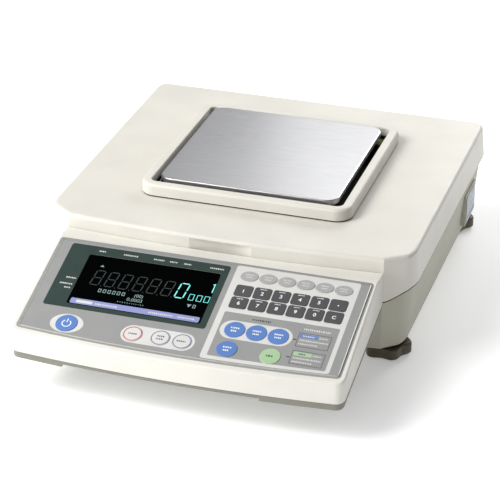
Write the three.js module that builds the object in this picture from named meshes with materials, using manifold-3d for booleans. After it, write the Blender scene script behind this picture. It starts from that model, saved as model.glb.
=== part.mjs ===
// Counting scale: a square steel pan on a load cell, in a two-part moulded body on four
// levelling feet, with a sloping console in front that carries the display and the keys.
//
// Frame: millimetres, +Z up, the user looks along +Y. The origin lies on the table, under
// the middle of the scale. Console pieces are drawn in the console's own frame instead,
// where +Y runs up the slope from the panel's back edge and +Z stands square to the panel.

import * as THREE from 'three';
import { mergeVertices } from 'three/addons/utils/BufferGeometryUtils.js';
import Module from 'manifold-3d';

const wasm = await Module();
wasm.setup();

// ---------------------------------------------------------------- driving dimensions

const GAP = 0.3;                 // air left between pieces that touch
const WALL = 2.5;                // moulded casing wall
const CURVE_STEPS = 8;           // points on each rounded stretch of a plan outline
const ROUND_SIDES = 16;          // sides of a round bar, key or hole

const TOP = 103;                 // top face of the body
const BASE_BOTTOM = 14;          // underside of the base case
const COVER_HALF = 165.3;        // half width of the top cover at its top edge
const COVER_BACK = 217;          // back of the top cover at its top edge
const SKIRT_BACK = 221;          // back of the top cover at the parting line
const SKIRT_HALF = 167;          // half width of the top cover at the parting line
const FRONT = -85;               // front face of the body, at its two vertical creases
const CREASE_X = 142.7;          // the creases' distance from the middle
const FRONT_BOW = 6.5;           // how far the front face swells between the creases
const SCOOP = { radius: 107, depth: 4, top: TOP - 3 };   // round scoop in the front face
const SHOULDER_Y = FRONT + 17;   // where the front chamfer meets the side
const TOP_FILLET = 4;            // round along the cover's top edge
const PARTING_SIDE = 70.5;       // parting line along the sides and back
const PARTING_FRONT = 60.7;      // parting line under the front face
const PARTING_RUN = 18;          // length, front to back, of the parting line's slope
const PARTING_GAP = 0.5;
const NOTCH = { half: 47, top: 74 };   // opening in the front face for the console's bracket

const PAN_Y = 63.3;              // middle of the pan, front to back
const PAN_HALF = 82.5;
const PAN_TOP = 116.8;
const PAN_CORNER = 12;
const PAN_SHEET = 1.2;
const PAN_LIP = 4.8;             // depth of the pan's turned-down edge
const WELL_HALF = { x: 87.5, y: 85 };
const WELL_FLOOR = 84.5;
const RING_OUTER = { x: 97.5, y: 95 };
const RING_INNER = { x: 88.5, y: 86 };
const RING_HEIGHT = 12;
const LEVEL = { x: 79.5, y: PAN_Y + 77, bottom: 97.3 };   // bubble level in the well's corner

const CONSOLE_SLOPE = Math.atan(0.3048);
const CONSOLE_BACK_Z = 90.2;     // level rim behind the panel
const PANEL_BACK_Y = -104.9;     // the panel's back edge
const CONSOLE_FRONT_Y = -215;    // front face of the console at its corners
const CONSOLE_BOW = 6;           // how far that face swells in the middle
const CONSOLE_HALF = { back: 142.6, front: 144.5 };
const CONSOLE_CORNER = 8;
const CONSOLE_PARTING = { back: 60, front: 37 };
const CONSOLE_SKIN = 3;          // thickness under the panel
const TRAY_DEPTH = { middle: 3.6, ends: 6.1 };
const TRAY_ENDS = [[-150, -97], [75, 150]];

const PANEL_HALF = 140.35;
const PANEL_LENGTH = 109.8;      // down the slope, at the panel's corners
const PANEL_BOW = 5.6;
const PANEL_CORNER = 4;
const PANEL_RECESS = 1.3;
const PANEL_SHEET = 0.7;
const WINDOW = { left: -108.5, right: 10.6, back: 15, front: 75 };
const BOARD_TOP = -4;            // key board, below the console's top face
const BOARD_THICKNESS = 1.6;

const KEY_TOP = 0.3;             // the caps stand this far above the console's top face
const KEY_BOTTOM = -3.4;
const KEY_FLANGE = 0.35;         // the collar under the panel that keeps a cap in
const KEY_CLEARANCE = 0.2;
const KEY_PITCH = 16.45;
const FIRST_KEY_X = 35.1;
const DIGIT_KEY = { width: 15, length: 13, corner: 2.2, rows: [31, 45.2] };
const FUNCTION_KEY = { width: 15.5, length: 11.4, row: 13.5 };

const FOOT_X = 141;
const FOOT_Y = { front: -58, rear: 195 };
const FOOT_PAD = { radius: 13, height: 1.4 };
const KNOB = { mean: 20.5, lobe: 1.7, lobes: 6, bevel: 1, height: 10.5 };
const STUD_RADIUS = 4;
const STUD_TOP = 27;

const PLATE = { half: 118, front: -42, back: 175, bottom: 20, top: 22 };
const SCREW_X = 110;
const SCREW_Y = { front: -50, rear: 190 };
const CELL = { half: 15, length: 130, bottom: 34, top: 56, end: 34 };
const SUPPORT_TRAVEL_GAP = 0.7;  // free air under the pan support's foot
const SOCKET = { x: 70, z: 43 };
const DATA_PORT = { x: 10, z: 43 };
const REAR_PAD_Y = 216.9;        // flat face on the back that carries both sockets
const SIDE_PAD_X = 164.3;        // flat face on the side that carries the rating label
const SIDE_PAD = { y: [147, 188], z: [25, 56] };
const LABEL = { margin: 3, thickness: 0.5 };

// ---------------------------------------------------------------- solids

function solidOf(geometry) {
  geometry.deleteAttribute('normal');
  geometry.deleteAttribute('uv');
  const merged = mergeVertices(geometry, 1e-4);
  return new wasm.Manifold(new wasm.Mesh({
    numProp: 3,
    vertProperties: merged.attributes.position.array,
    triVerts: new Uint32Array(merged.index.array),
  }));
}

function geometryOf(solid) {
  const { vertProperties, triVerts } = solid.getMesh();
  const geometry = new THREE.BufferGeometry();
  geometry.setAttribute('position', new THREE.BufferAttribute(vertProperties, 3));
  geometry.setIndex(new THREE.BufferAttribute(triVerts, 1));
  geometry.computeVertexNormals();
  return geometry;
}

const join = (...solids) => solids.reduce((whole, piece) => whole.add(piece));
const cut = (solid, ...tools) => tools.reduce((rest, tool) => rest.subtract(tool), solid);

// An upright prism of a plan shape, from z = low to z = high.
function prism(shape, low, high, matrix = null) {
  const options = { depth: high - low, bevelEnabled: false, curveSegments: 3 };
  const geometry = new THREE.ExtrudeGeometry(shape, options).translate(0, 0, low);
  return solidOf(matrix ? geometry.applyMatrix4(matrix) : geometry);
}

// A prism of a side-view shape, drawn in (y, z), from x = low to x = high.
function sidePrism(points, low, high) {
  const axes = [new THREE.Vector3(0, 1, 0), new THREE.Vector3(0, 0, 1), new THREE.Vector3(1, 0, 0)];
  const turn = new THREE.Matrix4().makeBasis(...axes);
  return prism(new THREE.Shape(points), low, high, turn);
}

function block([x0, x1], [y0, y1], [z0, z1], matrix = null) {
  const geometry = new THREE.BoxGeometry(x1 - x0, y1 - y0, z1 - z0);
  geometry.translate((x0 + x1) / 2, (y0 + y1) / 2, (z0 + z1) / 2);
  return solidOf(matrix ? geometry.applyMatrix4(matrix) : geometry);
}

// An upright round bar.
function rod(radius, [x, y], low, high, sides = ROUND_SIDES) {
  const geometry = new THREE.CylinderGeometry(radius, radius, high - low, sides);
  geometry.rotateX(Math.PI / 2);
  return solidOf(geometry.translate(x, y, (low + high) / 2));
}

// A round bar along X.
function crossRod(radius, y, z, half) {
  const geometry = new THREE.CylinderGeometry(radius, radius, 2 * half, ROUND_SIDES);
  geometry.rotateZ(Math.PI / 2);
  return solidOf(geometry.translate(0, y, z));
}

// A turned piece about a vertical axis, from (radius, height) pairs that start and end on it.
function turned(profile, sides = 24) {
  const points = profile.map(([radius, height]) => new THREE.Vector2(radius, height));
  const geometry = new THREE.LatheGeometry(points, sides);
  return solidOf(geometry.rotateX(Math.PI / 2));
}

// A closed skin through plan outlines of equal length, each at its own height, lowest first.
function loft(sections) {
  const count = sections[0].outline.length;
  const positions = [];
  const index = [];
  for (const { outline, z } of sections) {
    for (const point of outline) positions.push(point.x, point.y, z);
  }
  for (let level = 0; level + 1 < sections.length; level += 1) {
    for (let i = 0; i < count; i += 1) {
      const a = level * count + i;
      const b = level * count + ((i + 1) % count);
      index.push(a, b, a + count, b, b + count, a + count);
    }
  }
  const topStart = (sections.length - 1) * count;
  for (const [a, b, c] of THREE.ShapeUtils.triangulateShape(sections[0].outline, [])) {
    index.push(c, b, a);
  }
  for (const [a, b, c] of THREE.ShapeUtils.triangulateShape(sections.at(-1).outline, [])) {
    index.push(topStart + a, topStart + b, topStart + c);
  }
  const geometry = new THREE.BufferGeometry();
  geometry.setAttribute('position', new THREE.Float32BufferAttribute(positions, 3));
  geometry.setIndex(index);
  return solidOf(geometry);
}

// ---------------------------------------------------------------- plan shapes

function roundedRect([x0, x1], [y0, y1], radius) {
  const shape = new THREE.Shape();
  shape.moveTo(x0 + radius, y0);
  shape.lineTo(x1 - radius, y0);
  shape.absarc(x1 - radius, y0 + radius, radius, -Math.PI / 2, 0);
  shape.lineTo(x1, y1 - radius);
  shape.absarc(x1 - radius, y1 - radius, radius, 0, Math.PI / 2);
  shape.lineTo(x0 + radius, y1);
  shape.absarc(x0 + radius, y1 - radius, radius, Math.PI / 2, Math.PI);
  shape.lineTo(x0, y0 + radius);
  shape.absarc(x0 + radius, y0 + radius, radius, Math.PI, 1.5 * Math.PI);
  return shape;
}

const aboutPan = (half, radius) =>
  roundedRect([-half.x, half.x], [PAN_Y - half.y, PAN_Y + half.y], radius);

// Moves a counter-clockwise outline inwards, square to its edges.
function inset(outline, distance) {
  return outline.map((point, i) => {
    const before = point.clone().sub(outline.at(i - 1)).normalize();
    const after = outline[(i + 1) % outline.length].clone().sub(point).normalize();
    const inward = new THREE.Vector2(-before.y - after.y, before.x + after.x).normalize();
    const stretch = inward.x * -before.y + inward.y * before.x;
    return point.clone().addScaledVector(inward, distance / stretch);
  });
}

// The body's plan: a bowed front, a chamfer and a soft shoulder at each front corner.
function bodyOutline({ half, back, creaseX, front, corner }) {
  const shoulder = new THREE.Vector2(half, SHOULDER_Y);
  const bend = new THREE.Vector2(creaseX, front).lerp(shoulder, 0.72);
  const path = new THREE.Path();
  path.moveTo(-creaseX, front);
  path.quadraticCurveTo(0, front - 2 * FRONT_BOW, creaseX, front);
  path.lineTo(bend.x, bend.y);
  path.quadraticCurveTo(half, SHOULDER_Y, half, SHOULDER_Y + 16);
  path.lineTo(half, back - corner);
  path.quadraticCurveTo(half, back, half - corner, back);
  path.lineTo(corner - half, back);
  path.quadraticCurveTo(-half, back, -half, back - corner);
  path.lineTo(-half, SHOULDER_Y + 16);
  path.quadraticCurveTo(-half, SHOULDER_Y, -bend.x, bend.y);
  return path.getPoints(CURVE_STEPS);
}

// The top cover flares a little from its top edge down to the parting line.
function coverOutline(z) {
  const flare = (TOP - TOP_FILLET - z) / (TOP - TOP_FILLET - PARTING_SIDE);
  return bodyOutline({
    half: COVER_HALF + flare * (SKIRT_HALF - COVER_HALF),
    back: COVER_BACK + flare * (SKIRT_BACK - COVER_BACK),
    creaseX: CREASE_X,
    front: FRONT,
    corner: 12,
  });
}

const BASE_TOP_PLAN = { half: 164.1, back: 218, creaseX: 142.3, front: FRONT + 0.6, corner: 11 };
const BASE_FOOT_PLAN = { half: 159, back: 213, creaseX: 141.3, front: FRONT + 2, corner: 11 };

// The parting line between cover and base: level, with a smooth slope at the front corners.
function partingHeight(y) {
  const t = THREE.MathUtils.clamp((y - FRONT) / PARTING_RUN, 0, 1);
  const blend = t * t * (3 - 2 * t);
  return PARTING_FRONT + (PARTING_SIDE - PARTING_FRONT) * blend;
}

// A block as wide as the body: everything above or below the parting line, shifted by `rise`.
function partingCutter(rise, limit) {
  const points = [];
  for (let i = 0; i <= CURVE_STEPS; i += 1) {
    const y = FRONT + (PARTING_RUN * i) / CURVE_STEPS;
    points.push(new THREE.Vector2(y, partingHeight(y) + rise));
  }
  points.unshift(new THREE.Vector2(FRONT - 40, PARTING_FRONT + rise));
  points.push(new THREE.Vector2(SKIRT_BACK + 40, PARTING_SIDE + rise));
  points.push(new THREE.Vector2(SKIRT_BACK + 40, limit), new THREE.Vector2(FRONT - 40, limit));
  return sidePrism(points, -200, 200);
}

function consoleOutline() {
  const { back, front } = CONSOLE_HALF;
  const backY = FRONT - 0.4;
  const path = new THREE.Path();
  path.moveTo(-front, CONSOLE_FRONT_Y + CONSOLE_CORNER);
  path.quadraticCurveTo(-front, CONSOLE_FRONT_Y, CONSOLE_CORNER - front, CONSOLE_FRONT_Y - 0.7);
  path.quadraticCurveTo(
    0, CONSOLE_FRONT_Y - 0.7 - 2 * (CONSOLE_BOW - 0.7),
    front - CONSOLE_CORNER, CONSOLE_FRONT_Y - 0.7,
  );
  path.quadraticCurveTo(front, CONSOLE_FRONT_Y, front, CONSOLE_FRONT_Y + CONSOLE_CORNER);
  path.lineTo(back, backY);
  path.quadraticCurveTo(0, backY - 2 * FRONT_BOW, -back, backY);
  return path.getPoints(CURVE_STEPS);
}

// The panel's outline in the console's frame, with the same bowed front as the console.
function panelOutline(grow = 0) {
  const half = PANEL_HALF + grow;
  const front = -PANEL_LENGTH - grow;
  const shape = new THREE.Shape();
  shape.moveTo(-half, front + PANEL_CORNER);
  shape.quadraticCurveTo(-half, front, PANEL_CORNER - half, front - 0.4);
  shape.quadraticCurveTo(0, front - 0.4 - 2 * (PANEL_BOW - 0.4), half - PANEL_CORNER, front - 0.4);
  shape.quadraticCurveTo(half, front, half, front + PANEL_CORNER);
  shape.lineTo(half, grow - PANEL_CORNER);
  shape.quadraticCurveTo(half, grow, half - PANEL_CORNER, grow);
  shape.lineTo(PANEL_CORNER - half, grow);
  shape.quadraticCurveTo(-half, grow, -half, grow - PANEL_CORNER);
  return shape;
}

function knobOutline() {
  const steps = KNOB.lobes * 8;
  return Array.from({ length: steps }, (_, i) => {
    const angle = (2 * Math.PI * i) / steps;
    const radius = KNOB.mean + KNOB.lobe * Math.cos(KNOB.lobes * angle);
    return new THREE.Vector2(radius * Math.cos(angle), radius * Math.sin(angle));
  });
}

// ---------------------------------------------------------------- keys

function oval(radiusX, radiusY) {
  return new THREE.Shape(Array.from({ length: ROUND_SIDES }, (_, i) => {
    const angle = (2 * Math.PI * i) / ROUND_SIDES;
    return new THREE.Vector2(radiusX * Math.cos(angle), radiusY * Math.sin(angle));
  }));
}

// Each kind of key draws its own plan, grown by a margin for its collar or its hole.
const roundKey = (diameter) => (margin) => oval(diameter / 2 + margin, diameter / 2 + margin);
const ovalKey = (margin) =>
  oval(FUNCTION_KEY.width / 2 + margin, FUNCTION_KEY.length / 2 + margin);
function digitKey(margin) {
  const halfWidth = DIGIT_KEY.width / 2 + margin;
  const halfLength = DIGIT_KEY.length / 2 + margin;
  const plan = roundedRect([-halfWidth, halfWidth], [-halfLength, halfLength], DIGIT_KEY.corner + margin);
  return new THREE.Shape(plan.getPoints(1));
}

const DIGIT_ROWS = [['1', '2', '3', '4', '5', 'point'], ['6', '7', '8', '9', '0', 'clear']];
const COLUMNS = DIGIT_ROWS[0].map((_, column) => FIRST_KEY_X + column * KEY_PITCH);

// x is across the panel and s is down the slope from its back edge.
const KEYS = [
  ...COLUMNS.map((x, i) => ({
    name: `function_key_${i + 1}`, x, s: FUNCTION_KEY.row, plan: ovalKey, colour: 'keyGrey',
  })),
  ...DIGIT_ROWS.flatMap((labels, row) => labels.map((label, column) => ({
    name: `key_${label}`, x: COLUMNS[column], s: DIGIT_KEY.rows[row], plan: digitKey, colour: 'keyDark',
  }))),
  { name: 'power_key', x: -99.1, s: 97.7, plan: roundKey(18.8), colour: 'keyBlue' },
  { name: 'zero_key', x: -40.4, s: 97.8, plan: roundKey(16.5), colour: 'keyWhite' },
  { name: 'tare_set_key', x: -16.4, s: 97.4, plan: roundKey(16.5), colour: 'keyWhite' },
  { name: 'tare_key', x: 2.5, s: 97.6, plan: roundKey(16.5), colour: 'keyWhite' },
  { name: 'unit_weight_key', x: 41.1, s: 75.5, plan: roundKey(17.6), colour: 'keyBlue' },
  { name: 'unit_input_key', x: 59.75, s: 75.5, plan: roundKey(17.6), colour: 'keyBlue' },
  { name: 'sample_key', x: 78.4, s: 75.5, plan: roundKey(17.6), colour: 'keyBlue' },
  { name: 'memory_key', x: 41.1, s: 97.7, plan: roundKey(17.6), colour: 'keyBlue' },
  { name: 'enter_key', x: 78.1, s: 98, plan: roundKey(17), colour: 'keyGreen' },
];

// A cap with a softened top edge, on a collar that stays under the panel.
function keySolid(plan) {
  const step = 0.25;
  const capTop = prism(plan(-step), KEY_TOP - step, KEY_TOP);
  const cap = prism(plan(0), KEY_BOTTOM + 0.5, KEY_TOP - step);
  const collar = prism(plan(KEY_FLANGE), KEY_BOTTOM, -1.9);
  return join(collar, cap, capTop);
}

// Openings in the console's top skin, behind the panel: one per group of keys.
const KEY_OPENINGS = [
  { x: [26.4, 126], s: [6.6, 53] },
  { x: [31, 88.5], s: [65.5, 107.8] },
  { x: [-109.5, -88.7], s: [87.3, 108.1] },
  { x: [-49.8, 11.9], s: [88.3, 107] },
  { x: [-104, 6], s: [19, 71] },
];

const slopeRect = ({ x, s }, radius) => roundedRect(x, [-s[1], -s[0]], radius);

// ---------------------------------------------------------------- body

function baseCase() {
  const outer = loft([
    { outline: inset(bodyOutline(BASE_FOOT_PLAN), 2), z: BASE_BOTTOM },
    { outline: bodyOutline(BASE_FOOT_PLAN), z: BASE_BOTTOM + 2 },
    { outline: bodyOutline(BASE_TOP_PLAN), z: 75 },
  ]);
  const inner = loft([
    { outline: inset(bodyOutline(BASE_FOOT_PLAN), WALL), z: BASE_BOTTOM + WALL },
    { outline: inset(bodyOutline(BASE_TOP_PLAN), WALL), z: 76 },
  ]);
  const shell = cut(outer, inner, partingCutter(-PARTING_GAP / 2, 120));

  // A thin lip stands inside the cover's skirt and keeps light out of the parting line.
  const lipOuter = loft([
    { outline: inset(coverOutline(50), WALL + GAP), z: 50 },
    { outline: inset(coverOutline(76), WALL + GAP), z: 76 },
  ]);
  const lipInner = loft([
    { outline: inset(coverOutline(50), WALL + GAP + 2), z: 49 },
    { outline: inset(coverOutline(76), WALL + GAP + 2), z: 77 },
  ]);
  const lip = cut(lipOuter, lipInner, partingCutter(3, 120), partingCutter(-3, 0));
  const notch = block([-NOTCH.half, NOTCH.half], [FRONT - 20, FRONT + 20], [PARTING_FRONT - 1, 100]);

  const solids = [cut(shell, notch), cut(lip, notch)];
  const holes = [];
  for (const x of [-FOOT_X, FOOT_X]) {
    for (const y of [FOOT_Y.front, FOOT_Y.rear]) {
      solids.push(rod(9, [x, y], BASE_BOTTOM, 30));
      holes.push(rod(STUD_RADIUS + 0.3, [x, y], 0, 40));
    }
  }
  for (const x of [-SCREW_X, SCREW_X]) {
    for (const y of [SCREW_Y.front, SCREW_Y.rear]) {
      solids.push(rod(7, [x, y], BASE_BOTTOM, 24));
      holes.push(rod(4.2, [x, y], 0, 20), rod(2.3, [x, y], 19, 30));
    }
  }
  for (const x of [-90, 90]) {
    for (const y of [-20, 150]) solids.push(rod(6, [x, y], BASE_BOTTOM + 1, PLATE.bottom - GAP));
  }
  solids.push(block([158, SIDE_PAD_X], SIDE_PAD.y, SIDE_PAD.z));
  solids.push(block([-14, 96], [211.5, REAR_PAD_Y], [26, 60]));
  holes.push(block([SOCKET.x - 14.3, SOCKET.x + 14.3], [190, 230], [SOCKET.z - 10.8, SOCKET.z + 10.8]));
  holes.push(block([DATA_PORT.x - 11, DATA_PORT.x + 11], [190, 230], [DATA_PORT.z - 6.3, DATA_PORT.z + 6.3]));
  return cut(join(...solids), ...holes);
}

function topCover() {
  const fillet = [0, 1, 2, 3, 4].map((i) => {
    const angle = (Math.PI / 2) * (i / 4);
    return {
      outline: inset(coverOutline(TOP - TOP_FILLET), TOP_FILLET * (1 - Math.cos(angle))),
      z: TOP - TOP_FILLET + TOP_FILLET * Math.sin(angle),
    };
  });
  const outer = loft([{ outline: coverOutline(50), z: 50 }, ...fillet]);
  const inner = loft([
    { outline: inset(coverOutline(40), WALL), z: 40 },
    { outline: inset(coverOutline(TOP - WALL), WALL), z: TOP - WALL },
  ]);

  // A shallow round scoop in the middle of the front face, under the top edge.
  const scoopY = FRONT - FRONT_BOW + SCOOP.depth - SCOOP.radius;
  const scoop = rod(SCOOP.radius, [0, scoopY], 40, SCOOP.top, 96);
  const scoopBack = rod(SCOOP.radius + WALL, [0, scoopY], 30, TOP, 96);

  const wellOuter = { x: WELL_HALF.x + WALL, y: WELL_HALF.y + WALL };
  const well = prism(aboutPan(wellOuter, 8.5), WELL_FLOOR - WALL, TOP - 1);
  const levelBoss = rod(9, [LEVEL.x, LEVEL.y], WELL_FLOOR - 1, LEVEL.bottom - GAP);
  const wellSpace = prism(aboutPan(WELL_HALF, 6), WELL_FLOOR, TOP + 10);
  const postHole = rod(24, [0, PAN_Y], 60, TOP, 32);
  const notch = block([-NOTCH.half, NOTCH.half], [FRONT - 20, FRONT + 20], [40, NOTCH.top]);

  const shell = cut(outer, cut(inner, scoopBack), partingCutter(PARTING_GAP / 2, 0), scoop, notch);
  const wellBoss = levelBoss.intersect(prism(aboutPan(wellOuter, 8.5), 80, TOP - 1));
  const bosses = [];
  const pilots = [];
  for (const x of [-SCREW_X, SCREW_X]) {
    for (const y of [SCREW_Y.front, SCREW_Y.rear]) {
      bosses.push(rod(5, [x, y], 24.3, TOP - 1));
      pilots.push(rod(2.1, [x, y], 20, 40));
    }
  }
  return cut(join(cut(join(shell, well), wellSpace, postHole), wellBoss, ...bosses), ...pilots);
}

function panSurround() {
  const foot = prism(aboutPan(RING_OUTER, 15), TOP + GAP, TOP + RING_HEIGHT - 2);
  const crown = [0.6, 1.3, 2].map((height, i) => {
    const draw = [0.5, 1.3, 3][i];
    const half = { x: RING_OUTER.x - draw, y: RING_OUTER.y - draw };
    return prism(aboutPan(half, 15 - draw), TOP + 5, TOP + RING_HEIGHT - 2 + height);
  });
  const opening = prism(aboutPan(RING_INNER, 7), TOP - 5, TOP + 20);
  return cut(join(foot, ...crown), opening);
}

function weighingPan() {
  const half = { x: PAN_HALF, y: PAN_HALF };
  const inside = { x: PAN_HALF - PAN_SHEET, y: PAN_HALF - PAN_SHEET };
  const outer = prism(aboutPan(half, PAN_CORNER), PAN_TOP - PAN_LIP, PAN_TOP - 0.5);
  const bend = prism(aboutPan({ x: half.x - 0.5, y: half.y - 0.5 }, PAN_CORNER - 0.5),
    PAN_TOP - 1, PAN_TOP);
  const hollow = prism(aboutPan(inside, PAN_CORNER - PAN_SHEET), PAN_TOP - 10, PAN_TOP - PAN_SHEET);
  return cut(join(outer, bend), hollow);
}

function panSupport() {
  const cellBack = PAN_Y + CELL.length / 2;
  const spiderTop = PAN_TOP - PAN_SHEET - GAP;
  const foot = block([-15, 15], [cellBack - 28, cellBack], [CELL.top + SUPPORT_TRAVEL_GAP, 61]);
  const arm = block([-12, 12], [PAN_Y - 12, cellBack], [60, 66]);
  const post = rod(16, [0, PAN_Y], 60, 110, 32);
  const hub = rod(34, [0, PAN_Y], spiderTop - 6, spiderTop, 32);
  const spider = [];
  for (const angle of [Math.PI / 4, -Math.PI / 4]) {
    const turn = new THREE.Matrix4().makeTranslation(0, PAN_Y, 0)
      .multiply(new THREE.Matrix4().makeRotationZ(angle));
    spider.push(block([-92, 92], [-9, 9], [spiderTop - 6, spiderTop], turn));
  }
  return join(foot, arm, post, hub, ...spider);
}

function loadCell() {
  const y = [PAN_Y - CELL.length / 2, PAN_Y + CELL.length / 2];
  const bar = block([-CELL.half, CELL.half], y, [CELL.bottom, CELL.top]);
  const middle = (CELL.bottom + CELL.top) / 2;
  const spread = 14;
  const slot = block([-30, 30], [PAN_Y - spread, PAN_Y + spread], [middle - 1.5, middle + 1.5]);
  return cut(bar, crossRod(8.5, PAN_Y - spread, middle, 30), crossRod(8.5, PAN_Y + spread, middle, 30), slot);
}

function loadCellSpacer() {
  const front = PAN_Y - CELL.length / 2;
  return block([-CELL.half, CELL.half], [front, front + CELL.end], [PLATE.top + GAP, CELL.bottom - GAP]);
}

function chassisPlate() {
  const plate = prism(roundedRect([-PLATE.half, PLATE.half], [PLATE.front, PLATE.back], 10),
    PLATE.bottom, PLATE.top);
  const windows = [-1, 1].map((side) => {
    const x = [side * 62 - 22, side * 62 + 22];
    return prism(roundedRect(x, [-10, 40], 8), 0, 40);
  });
  return cut(plate, ...windows);
}

function mainBoard() {
  const board = block([-112, -38], [60, 150], [32, 33.6]);
  const posts = [[-106, 66], [-44, 66], [-106, 144], [-44, 144]]
    .map((at) => rod(3, at, PLATE.top + GAP, 32.5, 12));
  const parts = [
    block([-92, -72], [84, 104], [33, 36.4]),
    block([-66, -48], [110, 130], [33, 45]),
    block([-104, -96], [112, 140], [33, 40]),
    rod(6, [-60, 92], 33, 50, 16),
  ];
  return join(board, ...posts, ...parts);
}

function powerTransformer() {
  const core = block([58, 106], [92, 152], [PLATE.top + GAP, 60]);
  const coil = block([64, 100], [84, 160], [PLATE.top + 6, 54]);
  return join(core, coil);
}

function powerInlet() {
  const { x, z } = SOCKET;
  const flangeY = [REAR_PAD_Y + GAP, REAR_PAD_Y + GAP + 2];
  const flange = block([x - 16, x + 16], flangeY, [z - 12.5, z + 12.5]);
  const body = block([x - 14, x + 14], [195, flangeY[1]], [z - 10.5, z + 10.5]);
  const cavity = block([x - 12, x + 12], [200, 230], [z - 8, z + 8]);
  const pins = [[-7, 0], [0, 2.5], [7, 0]]
    .map(([dx, dz]) => block([x + dx - 1, x + dx + 1], [199, 213], [z + dz - 2, z + dz + 2]));
  return join(cut(join(flange, body), cavity), ...pins);
}

function dataConnector() {
  const { x, z } = DATA_PORT;
  const faceY = REAR_PAD_Y + GAP;
  const flange = block([x - 15.5, x + 15.5], [faceY, faceY + 1], [z - 6.2, z + 6.2]);
  const body = block([x - 9.5, x + 9.5], [202, faceY + 0.5], [z - 5.5, z + 5.5]);
  const shell = block([x - 8.3, x + 8.3], [faceY, faceY + 3.4], [z - 4, z + 4]);
  return join(flange, body, shell);
}

function bubbleLevel() {
  const base = LEVEL.bottom;
  return turned([
    [0, base], [6.3, base], [6.3, 103], [5.6, 103.8], [4.6, 104], [3, 105.4], [0, 106],
  ]).translate([LEVEL.x, LEVEL.y, 0]);
}

function caseScrew(x, y) {
  const head = rod(3.6, [x, y], 17.2, 19.7, 20);
  const shank = rod(1.8, [x, y], 19, 36, 16);
  return join(head, shank);
}

function ratingLabel() {
  const within = ([low, high]) => [low + LABEL.margin, high - LABEL.margin];
  const face = SIDE_PAD_X + GAP;
  return block([face, face + LABEL.thickness], within(SIDE_PAD.y), within(SIDE_PAD.z));
}

function footPad(x, y) {
  const { radius, height } = FOOT_PAD;
  return turned([
    [0, 0], [radius - 0.5, 0], [radius, 0.5], [radius, height - 0.4], [radius - 0.4, height], [0, height],
  ]).translate([x, y, 0]);
}

function footKnob(x, y) {
  const low = FOOT_PAD.height + GAP;
  const high = low + KNOB.height;
  const plan = knobOutline();
  const star = loft([
    { outline: inset(plan, KNOB.bevel), z: low },
    { outline: plan, z: low + KNOB.bevel },
    { outline: plan, z: high - KNOB.bevel },
    { outline: inset(plan, KNOB.bevel), z: high },
  ]);
  const collar = rod(7, [0, 0], high - 1, BASE_BOTTOM - GAP);
  return join(star, collar, rod(STUD_RADIUS, [0, 0], high, STUD_TOP)).translate([x, y, 0]);
}

// ---------------------------------------------------------------- console

const consoleFrame = new THREE.Group();
consoleFrame.position.set(0, PANEL_BACK_Y, CONSOLE_BACK_Z);
consoleFrame.rotation.x = CONSOLE_SLOPE;
consoleFrame.updateMatrixWorld();
const TILT = consoleFrame.matrixWorld;

// Side view of the console's upper case, `down` below its top face and open at the bottom.
function consoleSide(down, bottom) {
  const slope = Math.tan(CONSOLE_SLOPE);
  const drop = down / Math.cos(CONSOLE_SLOPE);
  const bendY = PANEL_BACK_Y + (drop - down) / slope;
  return [
    new THREE.Vector2(-60, CONSOLE_BACK_Z - down),
    new THREE.Vector2(bendY, CONSOLE_BACK_Z - down),
    new THREE.Vector2(-240, CONSOLE_BACK_Z - drop - (PANEL_BACK_Y + 240) * slope),
    new THREE.Vector2(-240, bottom(-240)),
    new THREE.Vector2(-60, bottom(-60)),
  ];
}

const consoleParting = (y) => THREE.MathUtils.mapLinear(
  y, FRONT, CONSOLE_FRONT_Y, CONSOLE_PARTING.back, CONSOLE_PARTING.front,
);

function consoleUpperCase() {
  const plan = consoleOutline();
  const outer = prism(new THREE.Shape(plan), 10, 100)
    .intersect(sidePrism(consoleSide(0, consoleParting), -160, 160));
  const inner = prism(new THREE.Shape(inset(plan, WALL)), 5, 105)
    .intersect(sidePrism(consoleSide(CONSOLE_SKIN, () => 0), -160, 160));
  const recess = prism(panelOutline(GAP), -PANEL_RECESS, 8, TILT);
  const openings = KEY_OPENINGS.map((opening) => prism(slopeRect(opening, 2), -6, 2, TILT));
  const notch = block([-NOTCH.half, NOTCH.half], [-105, -80], [30, NOTCH.top]);
  const posts = [-34, 34].map((x) => rod(4, [x, -100], 68.8, CONSOLE_BACK_Z - 1));
  return join(cut(outer, inner, recess, notch, ...openings), ...posts);
}

function consoleLowerCase() {
  const plan = inset(consoleOutline(), 0.8);
  const slab = (top, bottom, x) => sidePrism([
    new THREE.Vector2(-240, consoleParting(-240) - top),
    new THREE.Vector2(-60, consoleParting(-60) - top),
    new THREE.Vector2(-60, consoleParting(-60) - bottom),
    new THREE.Vector2(-240, consoleParting(-240) - bottom),
  ].reverse(), ...x);
  const middle = slab(GAP, TRAY_DEPTH.middle, [-160, 160]);
  const ends = TRAY_ENDS.map((x) => slab(GAP, TRAY_DEPTH.ends, x));
  const hollow = prism(new THREE.Shape(inset(plan, WALL)), 0, 100)
    .intersect(slab(-10, TRAY_DEPTH.middle - 2, [-160, 160]));
  return cut(prism(new THREE.Shape(plan), 10, 100).intersect(join(middle, ...ends)), hollow);
}

function consoleBracket() {
  const width = [-42, 42];
  const tongue = block(width, [-118, -37.5], [66, 68.5]);
  const leg = block(width, [-40, -37.5], [PLATE.top + GAP, 68]);
  const flange = block(width, [-40, -20], [PLATE.top + GAP, PLATE.top + GAP + 2.5]);
  return join(tongue, leg, flange);
}

const keyAt = (plan, margin, low, high, { x, s }) => prism(plan(margin), low, high).translate([x, -s, 0]);

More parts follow.
